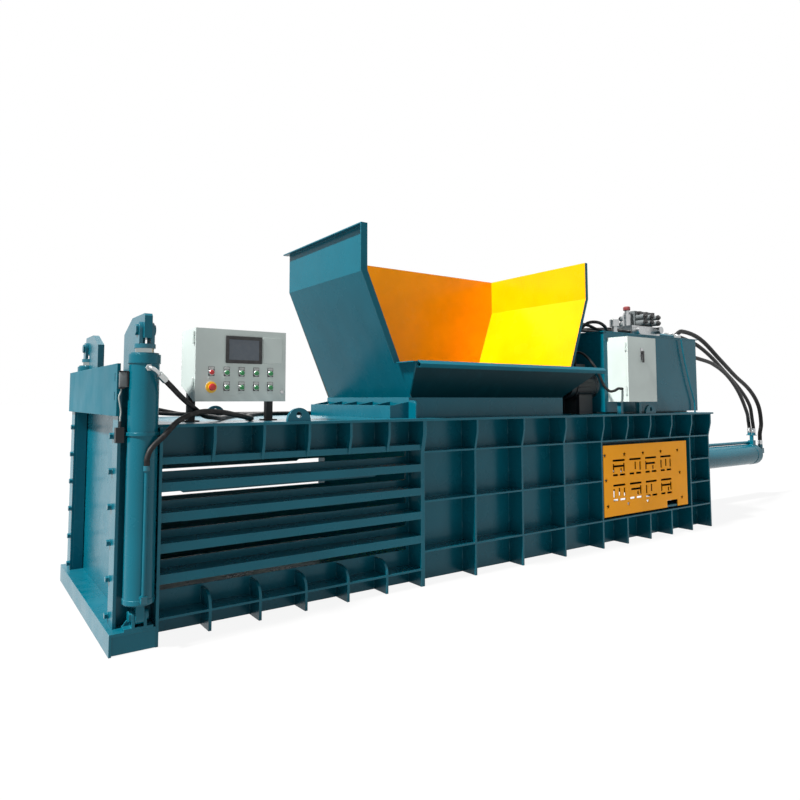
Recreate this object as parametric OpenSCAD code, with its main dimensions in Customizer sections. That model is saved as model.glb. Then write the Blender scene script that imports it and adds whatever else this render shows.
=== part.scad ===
// Horizontal baler: a long ribbed press body with a lifting discharge door,
// a feed hopper, a ram with its main cylinder, an oil tank and an operator box.
// X runs along the machine with the door at the low end, Z is up, Y is 0 on the centre plane.

/* [Press body] */
// Clear width of the bale channel
channel_w = 1100; // [1000:5:1200]
// Height of the channel floor and of the sill
floor_top = 105; // [80:1:130]
// Height of the roof plate's upper face
roof_top = 1085; // [1060:1:1140]
// Thickness of the roof plate
roof_t = 16; // [12:1:24]
// Half width of the roof plate
roof_half = 730; // [728:1:760]
// Length of roof plate past the last rib
roof_tail = 52; // [20:1:80]
// Thickness of the floor plate
floor_t = 20; // [12:1:30]
// Thickness of the side skins
skin_t = 14; // [10:1:20]
// Depth of the outer ribs from the skin
rib_depth = 136; // [120:1:150]
// Thickness of a rib plate
rib_t = 16; // [10:1:22]
// Extra depth of a rib under the roof plate
rib_flare = 27; // [10:1:29]
// Thickness of the rib that ends the bale chamber
frame_rib_t = 30; // [20:1:40]
// Thickness of the flat bars between the ribs
stringer_t = 12; // [8:1:20]
// Height of the lowest long flat bar
low_bar_z = 219; // [200:1:240]
// Thickness of the end plates beside the door
end_t = 15; // [10:1:20]
// Half width over the end plates
end_half = 765; // [740:1:775]

/* [Bale chamber] */
// Distance between the ribs of the bale chamber
chamber_pitch = 283; // [270:1:300]
// Number of rib bays along the bale chamber
chamber_bays = 6; // [5:1:7]
// Height of the lowest tying slot
slot_first = 214; // [205:1:225]
// Distance between the tying slots
slot_pitch = 153.75; // [148:0.25:158]
// Number of tying slots on a side
slot_count = 5; // [4:1:5]
// Height of a tying slot
slot_h = 35; // [25:1:45]
// Extra height of a slot at its ends
slot_flare = 13; // [5:1:14]
// How much higher the slots of the far side are
far_rise = 13; // [0:1:14]
// Length of the wide slot end beside the door
slot_end_a = 130; // [100:5:260]
// Length of the wide slot end beside the hopper
slot_end_b = 234; // [120:5:260]
// Distance from a slot's lower edge up to its tie bar
bar_rise = 64; // [58:1:68]
// Height of a tie bar
bar_h = 48; // [36:1:54]
// Height of the bar above the top slot
top_bar_h = 36; // [24:1:48]
// Corner radius of the short lower ribs
short_rib_r = 80; // [40:1:110]

/* [Feed and rear bays] */
// Distance between the ribs below the hopper
feed_pitch = 465; // [440:1:500]
// Number of rib bays below the hopper
feed_bays = 4; // [4:1:5]
// Distance between the ribs of the rear body
rear_pitch = 325; // [310:1:345]
// Thickness of the rear plate
rear_t = 40; // [30:1:50]
// Height of the gap under the rear plate
rear_gap = 105; // [60:5:140]
// Margin between the side window and its cover's edge
window_margin = 18; // [12:1:24]
// Thickness of the window's cover
cover_t = 6; // [4:1:10]

/* [Discharge door] */
// Distance of the sill's front face from the end plates
sill_reach = 217; // [210:1:240]
// Half width of the sill
sill_half = 778; // [776:1:790]
// Distance of the guide strips' front face from the end plates
strip_reach = 189; // [186:1:200]
// Thickness of the guide strips
strip_t = 16; // [12:1:24]
// Inner half width of the guide strips and post bars
post_in = 590; // [560:1:610]
// Outer half width of the guide strips
strip_out = 705; // [690:1:720]
// Outer half width of the door posts
post_out = 660; // [656:1:664]
// Thickness of the post bars
post_bar = 60; // [40:1:62]
// Thickness of the post side walls
post_wall = 15; // [10:1:16]
// Height of the post tops
post_top = 1275; // [1240:1:1300]
// Thickness of the door
door_t = 60; // [48:1:62]
// Height of the door's top edge
door_top = 1335; // [1300:1:1360]
// Clearance around the door in its guides
door_gap = 5; // [3:1:8]
// Height of the guard plate's lower edge
guard_z = 1130; // [1100:1:1160]
// Height of the guard plate
guard_h = 259; // [200:1:300]
// Half width of the guard plate
guard_half = 735; // [700:1:760]
// Thickness of the guard plate
guard_t = 16; // [8:1:20]

/* [Door lift] */
// Distance of the lift cylinders from the centre plane
lift_y = 745; // [744:1:748]
// Distance of the lift axis from the end plates
lift_reach = 80; // [80:1:84]
// Radius of the lift cylinder barrels
lift_r = 73; // [68:1:77]
// Bore radius of the lift cylinders
lift_bore = 60; // [58:1:64]
// Radius of the lift rods
lift_rod_r = 45; // [36:1:48]
// Height of the lift barrels' lower end
lift_z0 = 225; // [220:1:240]
// Height of the lift barrels' upper end
lift_z1 = 1390; // [1385:1:1400]
// Height of the gland on a lift cylinder
gland_h = 53; // [40:1:60]
// Thickness of the lifting arms
arm_t = 38; // [25:1:44]
// Height of the upper pin
pin_z = 1560; // [1550:1:1566]
// Radius of the lift pins
pin_r = 20; // [15:1:24]
// Radial clearance of a pin or shaft in its hole
run_gap = 0.05; // [0.02:0.01:0.08]

/* [Ram] */
// Length of the ram's block
ram_l = 600; // [520:10:700]
// Distance of the ram's face behind the feed opening
ram_back = 10; // [5:1:40]
// Side clearance of the ram in the channel
ram_gap = 5; // [3:1:8]
// Clearance between the ram and the roof plate
ram_top_gap = 9; // [6:1:12]
// Thickness of the ram's face plate
ram_face_t = 40; // [25:1:60]
// Thickness of the ram's other plates
ram_plate = 20; // [14:1:28]
// Length of the cover plate that follows the ram
ram_tail = 1260; // [1250:5:1280]

/* [Main cylinder] */
// Height of the main cylinder's axis
main_z = 527; // [500:1:560]
// Outer radius of the main barrel
main_r = 122.5; // [110:0.5:130]
// Bore radius of the main barrel
main_bore = 100; // [90:0.5:104]
// Radius of the main rod
main_rod_r = 70; // [60:1:80]
// Length of the main barrel behind the body
main_l = 2284; // [2240:1:2330]

/* [Feed opening and hopper] */
// Distance of the feed opening behind the chamber's end rib
feed_start = 2; // [0:1:20]
// Length of the feed opening
feed_l = 1540; // [1480:5:1550]
// Height of the hopper's collar
collar_h = 139; // [110:1:160]
// Thickness of the collar plates
collar_t = 12; // [8:1:16]
// Height of the hopper's slanted part
slant_h = 836; // [700:1:900]
// Height of the hopper's upright part
upright_h = 310; // [200:1:400]
// Spread of the slanted part toward the door
spread_front = 365; // [250:1:450]
// Spread of the slanted part toward the tank
spread_rear = 300; // [200:1:320]
// Thickness of the hopper sheets, measured level
sheet_t = 9; // [6:1:12]
// Width of the hopper's edge strips
edge_w = 50; // [30:1:60]
// Rise of the front lip
lip_rise = 236; // [180:1:260]
// Reach of the front lip
lip_reach = 216; // [180:1:240]
// Thickness of the lip's plate
lip_t = 8; // [5:1:10]
// Spread of the lip's rim toward the tank
lip_spread = 262; // [150:1:280]
// Length of the shear beam
beam_l = 165; // [140:1:180]
// Height of the shear beam's front
beam_h = 85; // [60:1:100]
// Number of pockets in the shear beam
beam_pockets = 5; // [4:1:6]

/* [Oil tank and motor] */
// Start of the oil tank along the machine
tank_x = 3750; // [3700:1:3780]
// Length of the oil tank
tank_l = 1440; // [1380:1:1480]
// Near side of the oil tank
tank_near = 600; // [560:1:620]
// Width of the oil tank
tank_w = 1050; // [900:5:1100]
// Height of the tank's skids
skid_h = 15; // [15:1:40]
// Height of the oil tank
tank_h = 690; // [640:1:720]
// Thickness of the tank plates
tank_t = 6; // [4:1:8]
// Radius of the motor's body
motor_r = 120; // [100:1:130]
// Length of the motor's body
motor_l = 240; // [220:1:250]
// Distance of the motor from the centre plane
motor_y = 440; // [400:1:450]
// Height of the motor's axis above the roof
motor_rise = 245; // [200:1:280]

/* [Operator box and cabinet] */
// Start of the operator box along the machine
console_x = 209; // [180:1:240]
// Width of the operator box
console_w = 541; // [520:1:560]
// Height of the operator box's underside above the roof
console_rise = 115; // [60:1:160]
// Height of the operator box
console_h = 406; // [390:1:440]
// Depth of the operator box
console_d = 250; // [200:1:280]
// Distance of the operator box's face from the centre plane
console_y = 600; // [560:1:620]
// Distance between the push buttons along a row
button_dx = 88; // [70:1:90]
// Distance between the button rows
button_dz = 82; // [70:1:84]
// Radius of a push button's cap
button_r = 15; // [11:0.5:18]
// Travel of a push button
button_travel = 3; // [2:0.5:4]
// Start of the electric cabinet along the machine
cabinet_x = 3800; // [3760:1:3840]
// Width of the electric cabinet
cabinet_w = 400; // [380:1:450]
// Depth of the electric cabinet
cabinet_d = 200; // [160:1:220]
// Height of the cabinet's underside above the roof
cabinet_rise = 105; // [80:1:140]
// Height of the electric cabinet
cabinet_h = 550; // [480:1:600]

/* [Hidden] */
$fn = 48;
eps = 1;
seat = 0.3;

// Levels and stations that follow from the driving sizes
half_w = channel_w / 2;
skin_y = half_w + skin_t;
rib_y = skin_y + rib_depth;
roof_under = roof_top - roof_t;
chamber_x = chamber_pitch * chamber_bays;
feed_x = chamber_x + feed_pitch * feed_bays;
rear_bays = 5;
body_x = feed_x + rear_pitch * rear_bays;
body_end = body_x + rib_t / 2;
slot_x0 = 20;
slot_x1 = chamber_x - frame_rib_t / 2 - 23;
waist_z = slot_first + (slot_count - 1) * slot_pitch + slot_h;
flare_z = waist_z + 0.59 * (roof_under - waist_z);
feed_a = chamber_x + feed_start;
feed_b = feed_a + feed_l;
collar_top = roof_top + collar_h;
kink_z = collar_top + slant_h;
rim_z = kink_z + upright_h;

teal = [0.07, 0.30, 0.36];
steel = [0.72, 0.73, 0.75];
pale = [0.86, 0.88, 0.87];
black = [0.06, 0.06, 0.07];

// Block between two corners
module span(a, b) translate(a) cube(b - a);

// Plate across the machine: the outline is drawn in Y and Z
module yz_plate(x, t) translate([x, 0, 0]) rotate([90, 0, 90]) linear_extrude(t) children();

// Plate along the machine: the outline is drawn in X and Z
module xz_plate(y, t) translate([0, y + t, 0]) rotate([90, 0, 0]) linear_extrude(t) children();

module rod_x(p, r, l) translate(p) rotate([0, 90, 0]) cylinder(r = r, h = l);
module rod_y(p, r, l) translate(p) rotate([-90, 0, 0]) cylinder(r = r, h = l);
module rod_z(p, r, l) translate(p) cylinder(r = r, h = l);

module both_sides() {
    children();
    mirror([0, 1, 0]) children();
}

// Hexagon head with a round washer, facing the low end of X
module hex_head_x(p, af) {
    rod_x([p[0] - 3, p[1], p[2]], af * 0.62, 3);
    translate([p[0] - 3 - af * 0.6, p[1], p[2]]) rotate([0, 90, 0])
        cylinder(d = af / cos(30), h = af * 0.6, $fn = 6);
}

// Sweep of a round section along a route that a smooth curve carries through its points
function unit(v) = v / norm(v);
function curve(a, b, c, d, t) = let (l = norm(c - b), u = l * unit(c - a), w = l * unit(d - b))
    (2 * t * t * t - 3 * t * t + 1) * b + (t * t * t - 2 * t * t + t) * u
    + (3 * t * t - 2 * t * t * t) * c + (t * t * t - t * t) * w;
function smooth(p, n) = let (m = len(p) - 1) concat(
    [for (i = [0:m - 1], j = [0:n - 1])
        curve(p[max(i - 1, 0)], p[i], p[i + 1], p[min(i + 2, m)], j / n)],
    [p[m]]);
function run(p, i) = unit(p[min(i + 1, len(p) - 1)] - p[max(i - 1, 0)]);
function level(t) = unit(cross(t, abs(t[1]) < 0.9 ? [0, 1, 0] : [1, 0, 0]));
function ring(c, t, r, k) = let (u = level(t), v = cross(t, u))
    [for (i = [0:k - 1]) c + r * (cos(360 * i / k) * u + sin(360 * i / k) * v)];
module hose(points, r, n = 4, k = 8) {
    p = smooth(points, n);
    m = len(p);
    polyhedron(
        [for (i = [0:m - 1]) each ring(p[i], run(p, i), r, k)],
        concat(
            [[for (i = [0:k - 1]) i]],
            [for (i = [0:m - 2], j = [0:k - 1])
                [i * k + j, (i + 1) * k + j, (i + 1) * k + (j + 1) % k, i * k + (j + 1) % k]],
            [[for (i = [k - 1:-1:0]) (m - 1) * k + i]]));
}

// Side walls

rib_outline = [
    [skin_y, 0], [rib_y, 0], [rib_y, waist_z], [rib_y + rib_flare, flare_z],
    [rib_y + rib_flare, roof_under], [skin_y, roof_under]
];

module rib(x, t = rib_t) yz_plate(x - t / 2, t) polygon(rib_outline);

module rib_part(x, z0, z1) intersection() {
    rib(x);
    span([x - rib_t, skin_y, z0], [x + rib_t, rib_y + rib_flare, z1]);
}

short_rib_top = slot_first - slot_flare - eps;
module short_rib(x) yz_plate(x - rib_t / 2, rib_t) {
    difference() {
        translate([skin_y, 0]) square([rib_depth, short_rib_top]);
        translate([rib_y - short_rib_r, short_rib_top - short_rib_r]) difference() {
            square(short_rib_r + eps);
            circle(short_rib_r);
        }
    }
}

// Flat bar between two stations, centred on a height
module stringer(x0, x1, z) span([x0, skin_y, z - stringer_t / 2], [x1, rib_y, z + stringer_t / 2]);

function rows(n) = [for (i = [0:n]) low_bar_z + i * (waist_z - low_bar_z) / n];

cover_x0 = feed_x + 17;
cover_x1 = feed_x + 4 * rear_pitch - rib_t / 2 - 55;
cover_z0 = low_bar_z + 26;
cover_z1 = waist_z - 36;
window_x0 = cover_x0 + window_margin;
window_x1 = cover_x1 - window_margin;
window_z0 = cover_z0 + window_margin;
window_z1 = cover_z1 - window_margin;

// The opening that the tie bars cross: higher at both ends
slot_window = [
    [slot_x0, slot_first], [slot_x1, slot_first], [slot_x1, waist_z + slot_flare],
    [slot_x1 - slot_end_b, waist_z + slot_flare], [slot_x1 - slot_end_b - 20, waist_z],
    [slot_x0 + slot_end_a + 20, waist_z], [slot_x0 + slot_end_a, waist_z + slot_flare],
    [slot_x0, waist_z + slot_flare]
];

top_bar_z = waist_z + slot_flare + 2;

module side_wall(window) {
    difference() {
        union() {
            span([0, half_w, 0], [body_end, skin_y, roof_under]);
            span([-end_t, half_w, 0], [0, end_half, roof_under]);
            span([-eps / 2, skin_y, top_bar_z], [chamber_x, rib_y, top_bar_z + top_bar_h]);
            stringer(-eps / 2, chamber_x, short_rib_top / 2 + 8);
            for (i = [1:chamber_bays - 1]) {
                short_rib(chamber_pitch * i);
                rib_part(chamber_pitch * i, top_bar_z, roof_under);
            }
            rib(chamber_x, frame_rib_t);
            for (i = [1:feed_bays]) rib(chamber_x + feed_pitch * i);
            for (z = rows(2)) stringer(chamber_x, feed_x, z);
            for (i = [1:3]) {
                rib_part(feed_x + rear_pitch * i, 0, low_bar_z);
                rib_part(feed_x + rear_pitch * i, waist_z, roof_under);
            }
            for (z = rows(1)) stringer(feed_x, feed_x + 4 * rear_pitch, z);
            for (i = [4, rear_bays]) rib(feed_x + rear_pitch * i);
            for (z = rows(3)) stringer(feed_x + 4 * rear_pitch, body_x, z);
            if (window) span([cover_x0, skin_y, cover_z0], [cover_x1, rib_y - cover_t, cover_z1]);
        }
        translate([0, 0, window ? 0 : far_rise])
            xz_plate(half_w - eps, skin_t + 2 * eps) polygon(slot_window);
        if (window) span([window_x0, half_w - eps, window_z0], [window_x1, rib_y + eps, window_z1]);
    }
}

module side_wall_near() color(teal) mirror([0, 1, 0]) side_wall(true);
module side_wall_far() color(teal) side_wall(false);

// Tie bars: an outer bar on a strip that lies between two slots
module tie_bar(z) {
    z0 = z + slot_h;
    z1 = z + slot_pitch;
    xa = slot_x0 + slot_end_a;
    xb = slot_x1 - slot_end_b;
    xz_plate(half_w, skin_t) polygon([
        [slot_x0, z0 + slot_flare], [xa, z0 + slot_flare], [xa + 20, z0], [xb - 20, z0],
        [xb, z0 + slot_flare], [slot_x1, z0 + slot_flare], [slot_x1, z1], [slot_x0, z1]
    ]);
    span([0, skin_y, z + bar_rise], [chamber_x - frame_rib_t / 2, rib_y, z + bar_rise + bar_h]);
}

module tie_bars() color(teal) for (i = [0:slot_count - 2]) {
    translate([0, 0, far_rise]) tie_bar(slot_first + slot_pitch * i);
    mirror([0, 1, 0]) tie_bar(slot_first + slot_pitch * i);
}

// Floor plate with a cross bearer at each rib; the first bearer carries the origin
bearer_x = concat([0],
    [for (i = [1:chamber_bays]) chamber_pitch * i],
    [for (i = [1:feed_bays]) chamber_x + feed_pitch * i],
    [for (i = [1:rear_bays]) feed_x + rear_pitch * i]);

module floor_plate() color(teal) {
    span([-end_t, -half_w, floor_top - floor_t], [body_end, half_w, floor_top]);
    for (x = bearer_x) {
        t = x == 0 ? 2 * end_t : rib_t;
        span([x - t / 2, -half_w, 0], [x + t / 2, half_w, floor_top - floor_t]);
    }
}

module top_plate() color(teal) difference() {
    span([-end_t, -roof_half, roof_under], [body_x + roof_tail, roof_half, roof_top]);
    span([feed_a, -half_w, roof_under - eps], [feed_b, half_w, roof_top + eps]);
}

// Rear plate with the round hole that the main rod passes through
rear_z = floor_top + rear_gap;
gland_hole = main_rod_r + 12;
module rear_plate() color(teal) difference() {
    span([body_end - rear_t, -half_w, rear_z], [body_end, half_w, roof_under]);
    rod_x([body_end - rear_t - eps, 0, main_z], gland_hole, rear_t + 2 * eps);
}

// Cover of the side window, with cut-outs in two rows and a notch below
cell_w = (cover_x1 - cover_x0) / 4.6;
cell_h = (cover_z1 - cover_z0) / 2.5;
module cover_cell(x, z, kind) translate([x, z]) {
    w = cell_w * 0.62;
    h = cell_h * 0.6;
    translate([0, h * 0.86]) square([w, h * 0.12]);
    if (kind % 2 == 0) translate([w * 0.44, h * 0.3]) square([w * 0.12, h * 0.46]);
    if (kind % 2 == 1) translate([w * 0.1, h * 0.52]) square([w * 0.8, h * 0.12]);
    translate([0, 0]) square([w * 0.4, h * 0.12]);
    translate([w * 0.56, 0]) square([w * 0.44, h * 0.12]);
    if (kind % 2 == 1) translate([w * 0.62, h * 0.2]) square([w * 0.12, h * 0.24]);
    if (kind % 3 != 1) translate([0, h * 0.22]) square([w * 0.12, h * 0.5]);
    if (kind % 3 != 2) translate([w * 0.86, h * 0.24]) square([w * 0.12, h * 0.5]);
}

// Small five-pointed holes near the edge of the cover
cover_w = cover_x1 - cover_x0;
cover_h = cover_z1 - cover_z0;
star_r = 24;
star_in = 0.42;
star_at = concat(
    [for (i = [0:4]) [cover_x0 + 20 + 0.216 * cover_w * i, cover_z1 - 82]],
    [for (i = [0:2]) [cover_x0 + 50 + 0.225 * cover_w * i, cover_z0 + 85]],
    [[cover_x0 + 32, cover_z0 + 0.51 * cover_h], [cover_x1 - 118, cover_z0 + 0.51 * cover_h],
        [cover_x1 - 92, cover_z0 + 72]]);
module cover_star(p) translate(p) polygon([
    for (i = [0:9]) (i % 2 == 0 ? star_r : star_r * star_in) * [sin(36 * i), cos(36 * i)]
]);

module cover_outline() difference() {
    translate([cover_x0, cover_z0]) square([cover_w, cover_h]);
    translate([cover_x1 - 330, cover_z0 - eps]) square([165, 60 + eps]);
    for (i = [0:3], j = [0:1])
        cover_cell(cover_x0 + cover_w * (0.101 + 0.186 * i), cover_z0 + cover_h * (0.206 + 0.352 * j),
            i + 3 * j);
    for (p = star_at) cover_star(p);
}

module window_cover() color([0.93, 0.60, 0.10]) xz_plate(-rib_y, cover_t) cover_outline();

// Discharge door, its posts and guides

sill_x = -end_t - sill_reach;
strip_x = -end_t - strip_reach;
bar_x = strip_x + strip_t;
door_x = bar_x + post_bar + door_gap;
door_half = post_out - post_wall - door_gap;
guide_x = door_x + door_t + door_gap;

module sill_beam() color(teal) difference() {
    union() {
        span([sill_x, -sill_half, 0], [sill_x + 12, sill_half, floor_top]);
        span([sill_x, -sill_half, floor_top - 14], [-end_t, sill_half, floor_top]);
        span([sill_x + 12, -sill_half + 6, 4], [-end_t, sill_half - 6, floor_top - 14]);
    }
    span([sill_x + 30, -sill_half + 22, 16], [-end_t - 14, sill_half - 22, floor_top - 24]);
}

module door_posts() color(teal) both_sides() {
    span([bar_x, post_in, floor_top], [bar_x + post_bar, post_out, post_top]);
    span([bar_x + post_bar, post_out - post_wall, floor_top], [-end_t, post_out, roof_under]);
    span([bar_x + post_bar, post_out - post_wall, roof_under], [-end_t - eps, post_out, post_top]);
    span([guide_x, post_in, floor_top], [-end_t, post_out - post_wall, roof_under]);
}

strip_bolt_z = [for (i = [0:5]) floor_top + 41 + i * (roof_top - floor_top - 98) / 5];
strip_bolt_y = post_in + 15;
module guide_strips() color(teal) both_sides() {
    span([strip_x, post_in, floor_top], [bar_x, strip_out, post_top]);
}

guard_x = strip_x - guard_t;
module guard_plate() color(teal) difference() {
    span([guard_x, -guard_half, guard_z], [strip_x, guard_half, guard_z + guard_h]);
    for (z = [0.3, 0.66]) span([guard_x - eps, -guard_half + 40, guard_z + guard_h * z],
        [strip_x + eps, -guard_half + 52, guard_z + guard_h * (z + 0.16)]);
}

module frame_bolts() color([0.35, 0.4, 0.42]) {
    both_sides() for (z = strip_bolt_z) if (z < guard_z - 20) hex_head_x([strip_x, strip_bolt_y, z], 27);
    for (a = [15:30:345])
        translate([main_x0 + flange_l, flange_bolt_r * cos(a), main_z + flange_bolt_r * sin(a)])
        rotate([0, 90, 0]) cylinder(r = 17, h = 20, $fn = 6);
}

module door_panel() color(teal) {
    span([door_x, -door_half, floor_top + seat], [door_x + door_t, door_half, door_top]);
}

// Arms stand on the door and reach out over the lift cylinders
lift_x = -end_t - lift_reach;
arm_top = pin_z + 78;
arm_outer = lift_y + 65;
module arm_outline() difference() {
    polygon([
        [370, door_top], [370, pin_z + 5], [550, arm_top],
        [arm_outer - 12, arm_top], [arm_outer, arm_top - 12],
        [arm_outer, pin_z - 45], [lift_y - 73, pin_z - 45], [post_out - 10, door_top]
    ]);
    translate([lift_y, pin_z]) circle(pin_r + run_gap);
}
module door_arms() color(teal) both_sides() yz_plate(lift_x - arm_t / 2, arm_t) arm_outline();

// Lift cylinders
port_low = lift_z0 + 35;
port_high = lift_z1 - 23;
boss_end = lift_r + 9;
eye_z = lift_z0 - 60;
eye_r = 42;
tang_t = 40;
module lift_barrel() {
    difference() {
        union() {
            rod_z([lift_x, lift_y, lift_z0], lift_r, lift_z1 - lift_z0);
            rod_z([lift_x, lift_y, lift_z0 + 4], lift_r + 2.5, 22);
            rod_z([lift_x, lift_y, lift_z1 - 356], lift_r + 6, 16);
            rod_z([lift_x, lift_y, lift_z1], lift_r + 5, gland_h - 8);
            rod_z([lift_x, lift_y, lift_z1 + gland_h - 8], lift_r - 4, 8);
            for (z = [port_low, port_high])
                rod_y([lift_x, lift_y + lift_r - 10, z], 15, boss_end - lift_r + 10);
            yz_plate(lift_x - tang_t / 2, tang_t) hull() {
                translate([lift_y, eye_z]) circle(eye_r);
                translate([lift_y - eye_r, lift_z0 - 4]) square([2 * eye_r, 6]);
            }
        }
        rod_z([lift_x, lift_y, lift_z0 + 20], lift_bore, lift_z1 - lift_z0 - 10);
        rod_z([lift_x, lift_y, lift_z1 - eps], lift_rod_r + run_gap, gland_h + 2 * eps);
        rod_x([lift_x - tang_t, lift_y, eye_z], pin_r + run_gap, 2 * tang_t);
    }
}
module lift_barrels() color(teal) both_sides() lift_barrel();

// Foot of a lift cylinder: a pad, two ears and a pin with a head
ear_t = 14;
ear_gap = 1;
ear_x = tang_t / 2 + ear_gap;
pad_t = 12;
foot_in = lift_y - 33;
foot_out = lift_y + 33;
module lift_ear(x) yz_plate(x, ear_t) hull() {
    translate([lift_y, eye_z]) circle(30);
    translate([foot_in, floor_top + pad_t - eps]) square([foot_out - foot_in, 4]);
}
module lift_foot() {
    span([lift_x - 70, foot_in, floor_top], [lift_x + 66, foot_out, floor_top + pad_t]);
    lift_ear(lift_x - ear_x - ear_t);
    lift_ear(lift_x + ear_x);
    xz_plate(lift_y - 28, 10) polygon([
        [lift_x - 68, floor_top + pad_t], [lift_x - ear_x - ear_t, floor_top + pad_t],
        [lift_x - ear_x - ear_t, eye_z - 8]
    ]);
}
module lift_feet() color(teal) both_sides() {
    lift_foot();
    pin_with_head(lift_x - ear_x - ear_t, eye_z, 2 * (ear_x + ear_t));
}

// Lift rods with a piston below and a fork above
fork_t = 18;
fork_z = pin_z - 94;
fork_gap = 0.5;
module fork_ear(x) yz_plate(x, fork_t) difference() {
    hull() {
        translate([lift_y, pin_z]) circle(40);
        translate([lift_y - 40, fork_z + 20]) square([80, 6]);
    }
    translate([lift_y, pin_z]) circle(pin_r + run_gap);
}
module lift_rod() {
    rod_z([lift_x, lift_y, lift_z0 + 45], lift_bore - run_gap, 60);
    rod_z([lift_x, lift_y, lift_z0 + 45], lift_rod_r, fork_z - lift_z0 - 44);
    rod_z([lift_x, lift_y, fork_z], 52, 22);
    fork_ear(lift_x - arm_t / 2 - fork_gap - fork_t);
    fork_ear(lift_x + arm_t / 2 + fork_gap);
}
module lift_rods() color(steel) both_sides() lift_rod();

// Pins through the upper forks and through the lower ears
module pin_with_head(x, z, l) {
    rod_x([x, lift_y, z], pin_r, l);
    rod_x([x + l, lift_y, z], pin_r + 8, 9);
    translate([x - 12, lift_y, z]) rotate([0, 90, 0]) cylinder(r = pin_r + 8, h = 12, $fn = 6);
}
module lift_pins() color(steel) both_sides() {
    pin_with_head(lift_x - arm_t / 2 - fork_gap - fork_t, pin_z, arm_t + 2 * (fork_gap + fork_t));
}

// Ram and main cylinder

ram_x = feed_b + ram_back;
ram_half = half_w - ram_gap;
ram_bottom = floor_top + seat;
ram_top = roof_under - ram_top_gap;
knife_t = 24;
knife_h = 70;
module ram_block() color(teal) difference() {
    union() {
        difference() {
            span([ram_x, -ram_half, ram_bottom], [ram_x + ram_l, ram_half, ram_top]);
            span([ram_x + ram_face_t, -ram_half + ram_plate, ram_bottom + ram_plate],
                [ram_x + ram_l + eps, ram_half - ram_plate, ram_top - ram_plate]);
        }
        span([ram_x + ram_l, -ram_half, ram_top - ram_plate], [ram_x + ram_l + ram_tail, ram_half, ram_top]);
        both_sides() {
            span([ram_x + ram_l, ram_half - ram_plate, ram_top - 190],
                [ram_x + ram_l + ram_tail, ram_half, ram_top]);
        }
        rod_x([ram_x + ram_face_t, 0, main_z], main_rod_r + 60, 90);
    }
    span([ram_x - eps, -ram_half - eps, ram_top - knife_h],
        [ram_x + knife_t, ram_half + eps, ram_top + eps]);
    rod_x([ram_x + ram_face_t, 0, main_z], main_rod_r, 91);
}

module ram_knife() color(steel) difference() {
    span([ram_x, -ram_half, ram_top - knife_h], [ram_x + knife_t, ram_half, ram_top]);
    for (i = [-4:4]) translate([ram_x - eps, i * ram_half / 4.6, ram_top - knife_h / 2]) rotate([0, 90, 0])
        cylinder(r1 = 15, r2 = 9, h = 12);
}

main_x0 = body_end;
flange_l = 45;
flange_bolt_r = main_r + 38;
main_x1 = main_x0 + main_l;
piston_x = main_x1 - 190;
end_port_x = main_x1 + 60;
end_port_y = -50;
end_port_z = main_z + 40;
module ram_rod() color(steel) {
    rod_x([ram_x + ram_face_t, 0, main_z], main_rod_r, piston_x - ram_x - ram_face_t + eps);
    rod_x([piston_x, 0, main_z], main_bore - run_gap, 110);
}

module main_barrel() color(teal) difference() {
    union() {
        rod_x([main_x0, 0, main_z], main_r, main_l);
        rod_x([main_x0, 0, main_z], main_r + 62, flange_l);
        rod_x([main_x1 - 110, 0, main_z], main_r + 3, 100);
        rod_x([body_end - rear_t, 0, main_z], gland_hole - 0.3, rear_t + eps);
        rod_x([main_x1 - eps, end_port_y, end_port_z], 27, end_port_x - main_x1);
    }
    rod_x([main_x0 + 60, 0, main_z], main_bore, main_l - 110);
    rod_x([main_x0 - rear_t - eps, 0, main_z], main_rod_r + run_gap, rear_t + 62);
}

// Feed opening, shear parts and hopper

collar_y = half_w + collar_t;
gusset_w = 78;
gusset_h = collar_h - 20;
gusset_r = 34;
module hopper_collar() color(teal) {
    difference() {
        span([feed_a - collar_t, -collar_y, roof_top], [feed_b + collar_t, collar_y, collar_top]);
        span([feed_a, -half_w, roof_top - eps], [feed_b, half_w, collar_top + eps]);
    }
    yz_plate(feed_a - collar_t, collar_t) mirror([1, 0]) difference() {
        translate([collar_y - eps, roof_top]) square([gusset_w + eps, gusset_h]);
        translate([collar_y + gusset_w - gusset_r, roof_top + gusset_h - gusset_r]) difference() {
            square(gusset_r + eps);
            circle(gusset_r);
        }
    }
}

// Sheet outline between a line and the same line moved level by t
function level_sheet(p, t) = concat(p, [for (i = [len(p) - 1:-1:0]) p[i] + [t, 0]]);

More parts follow.
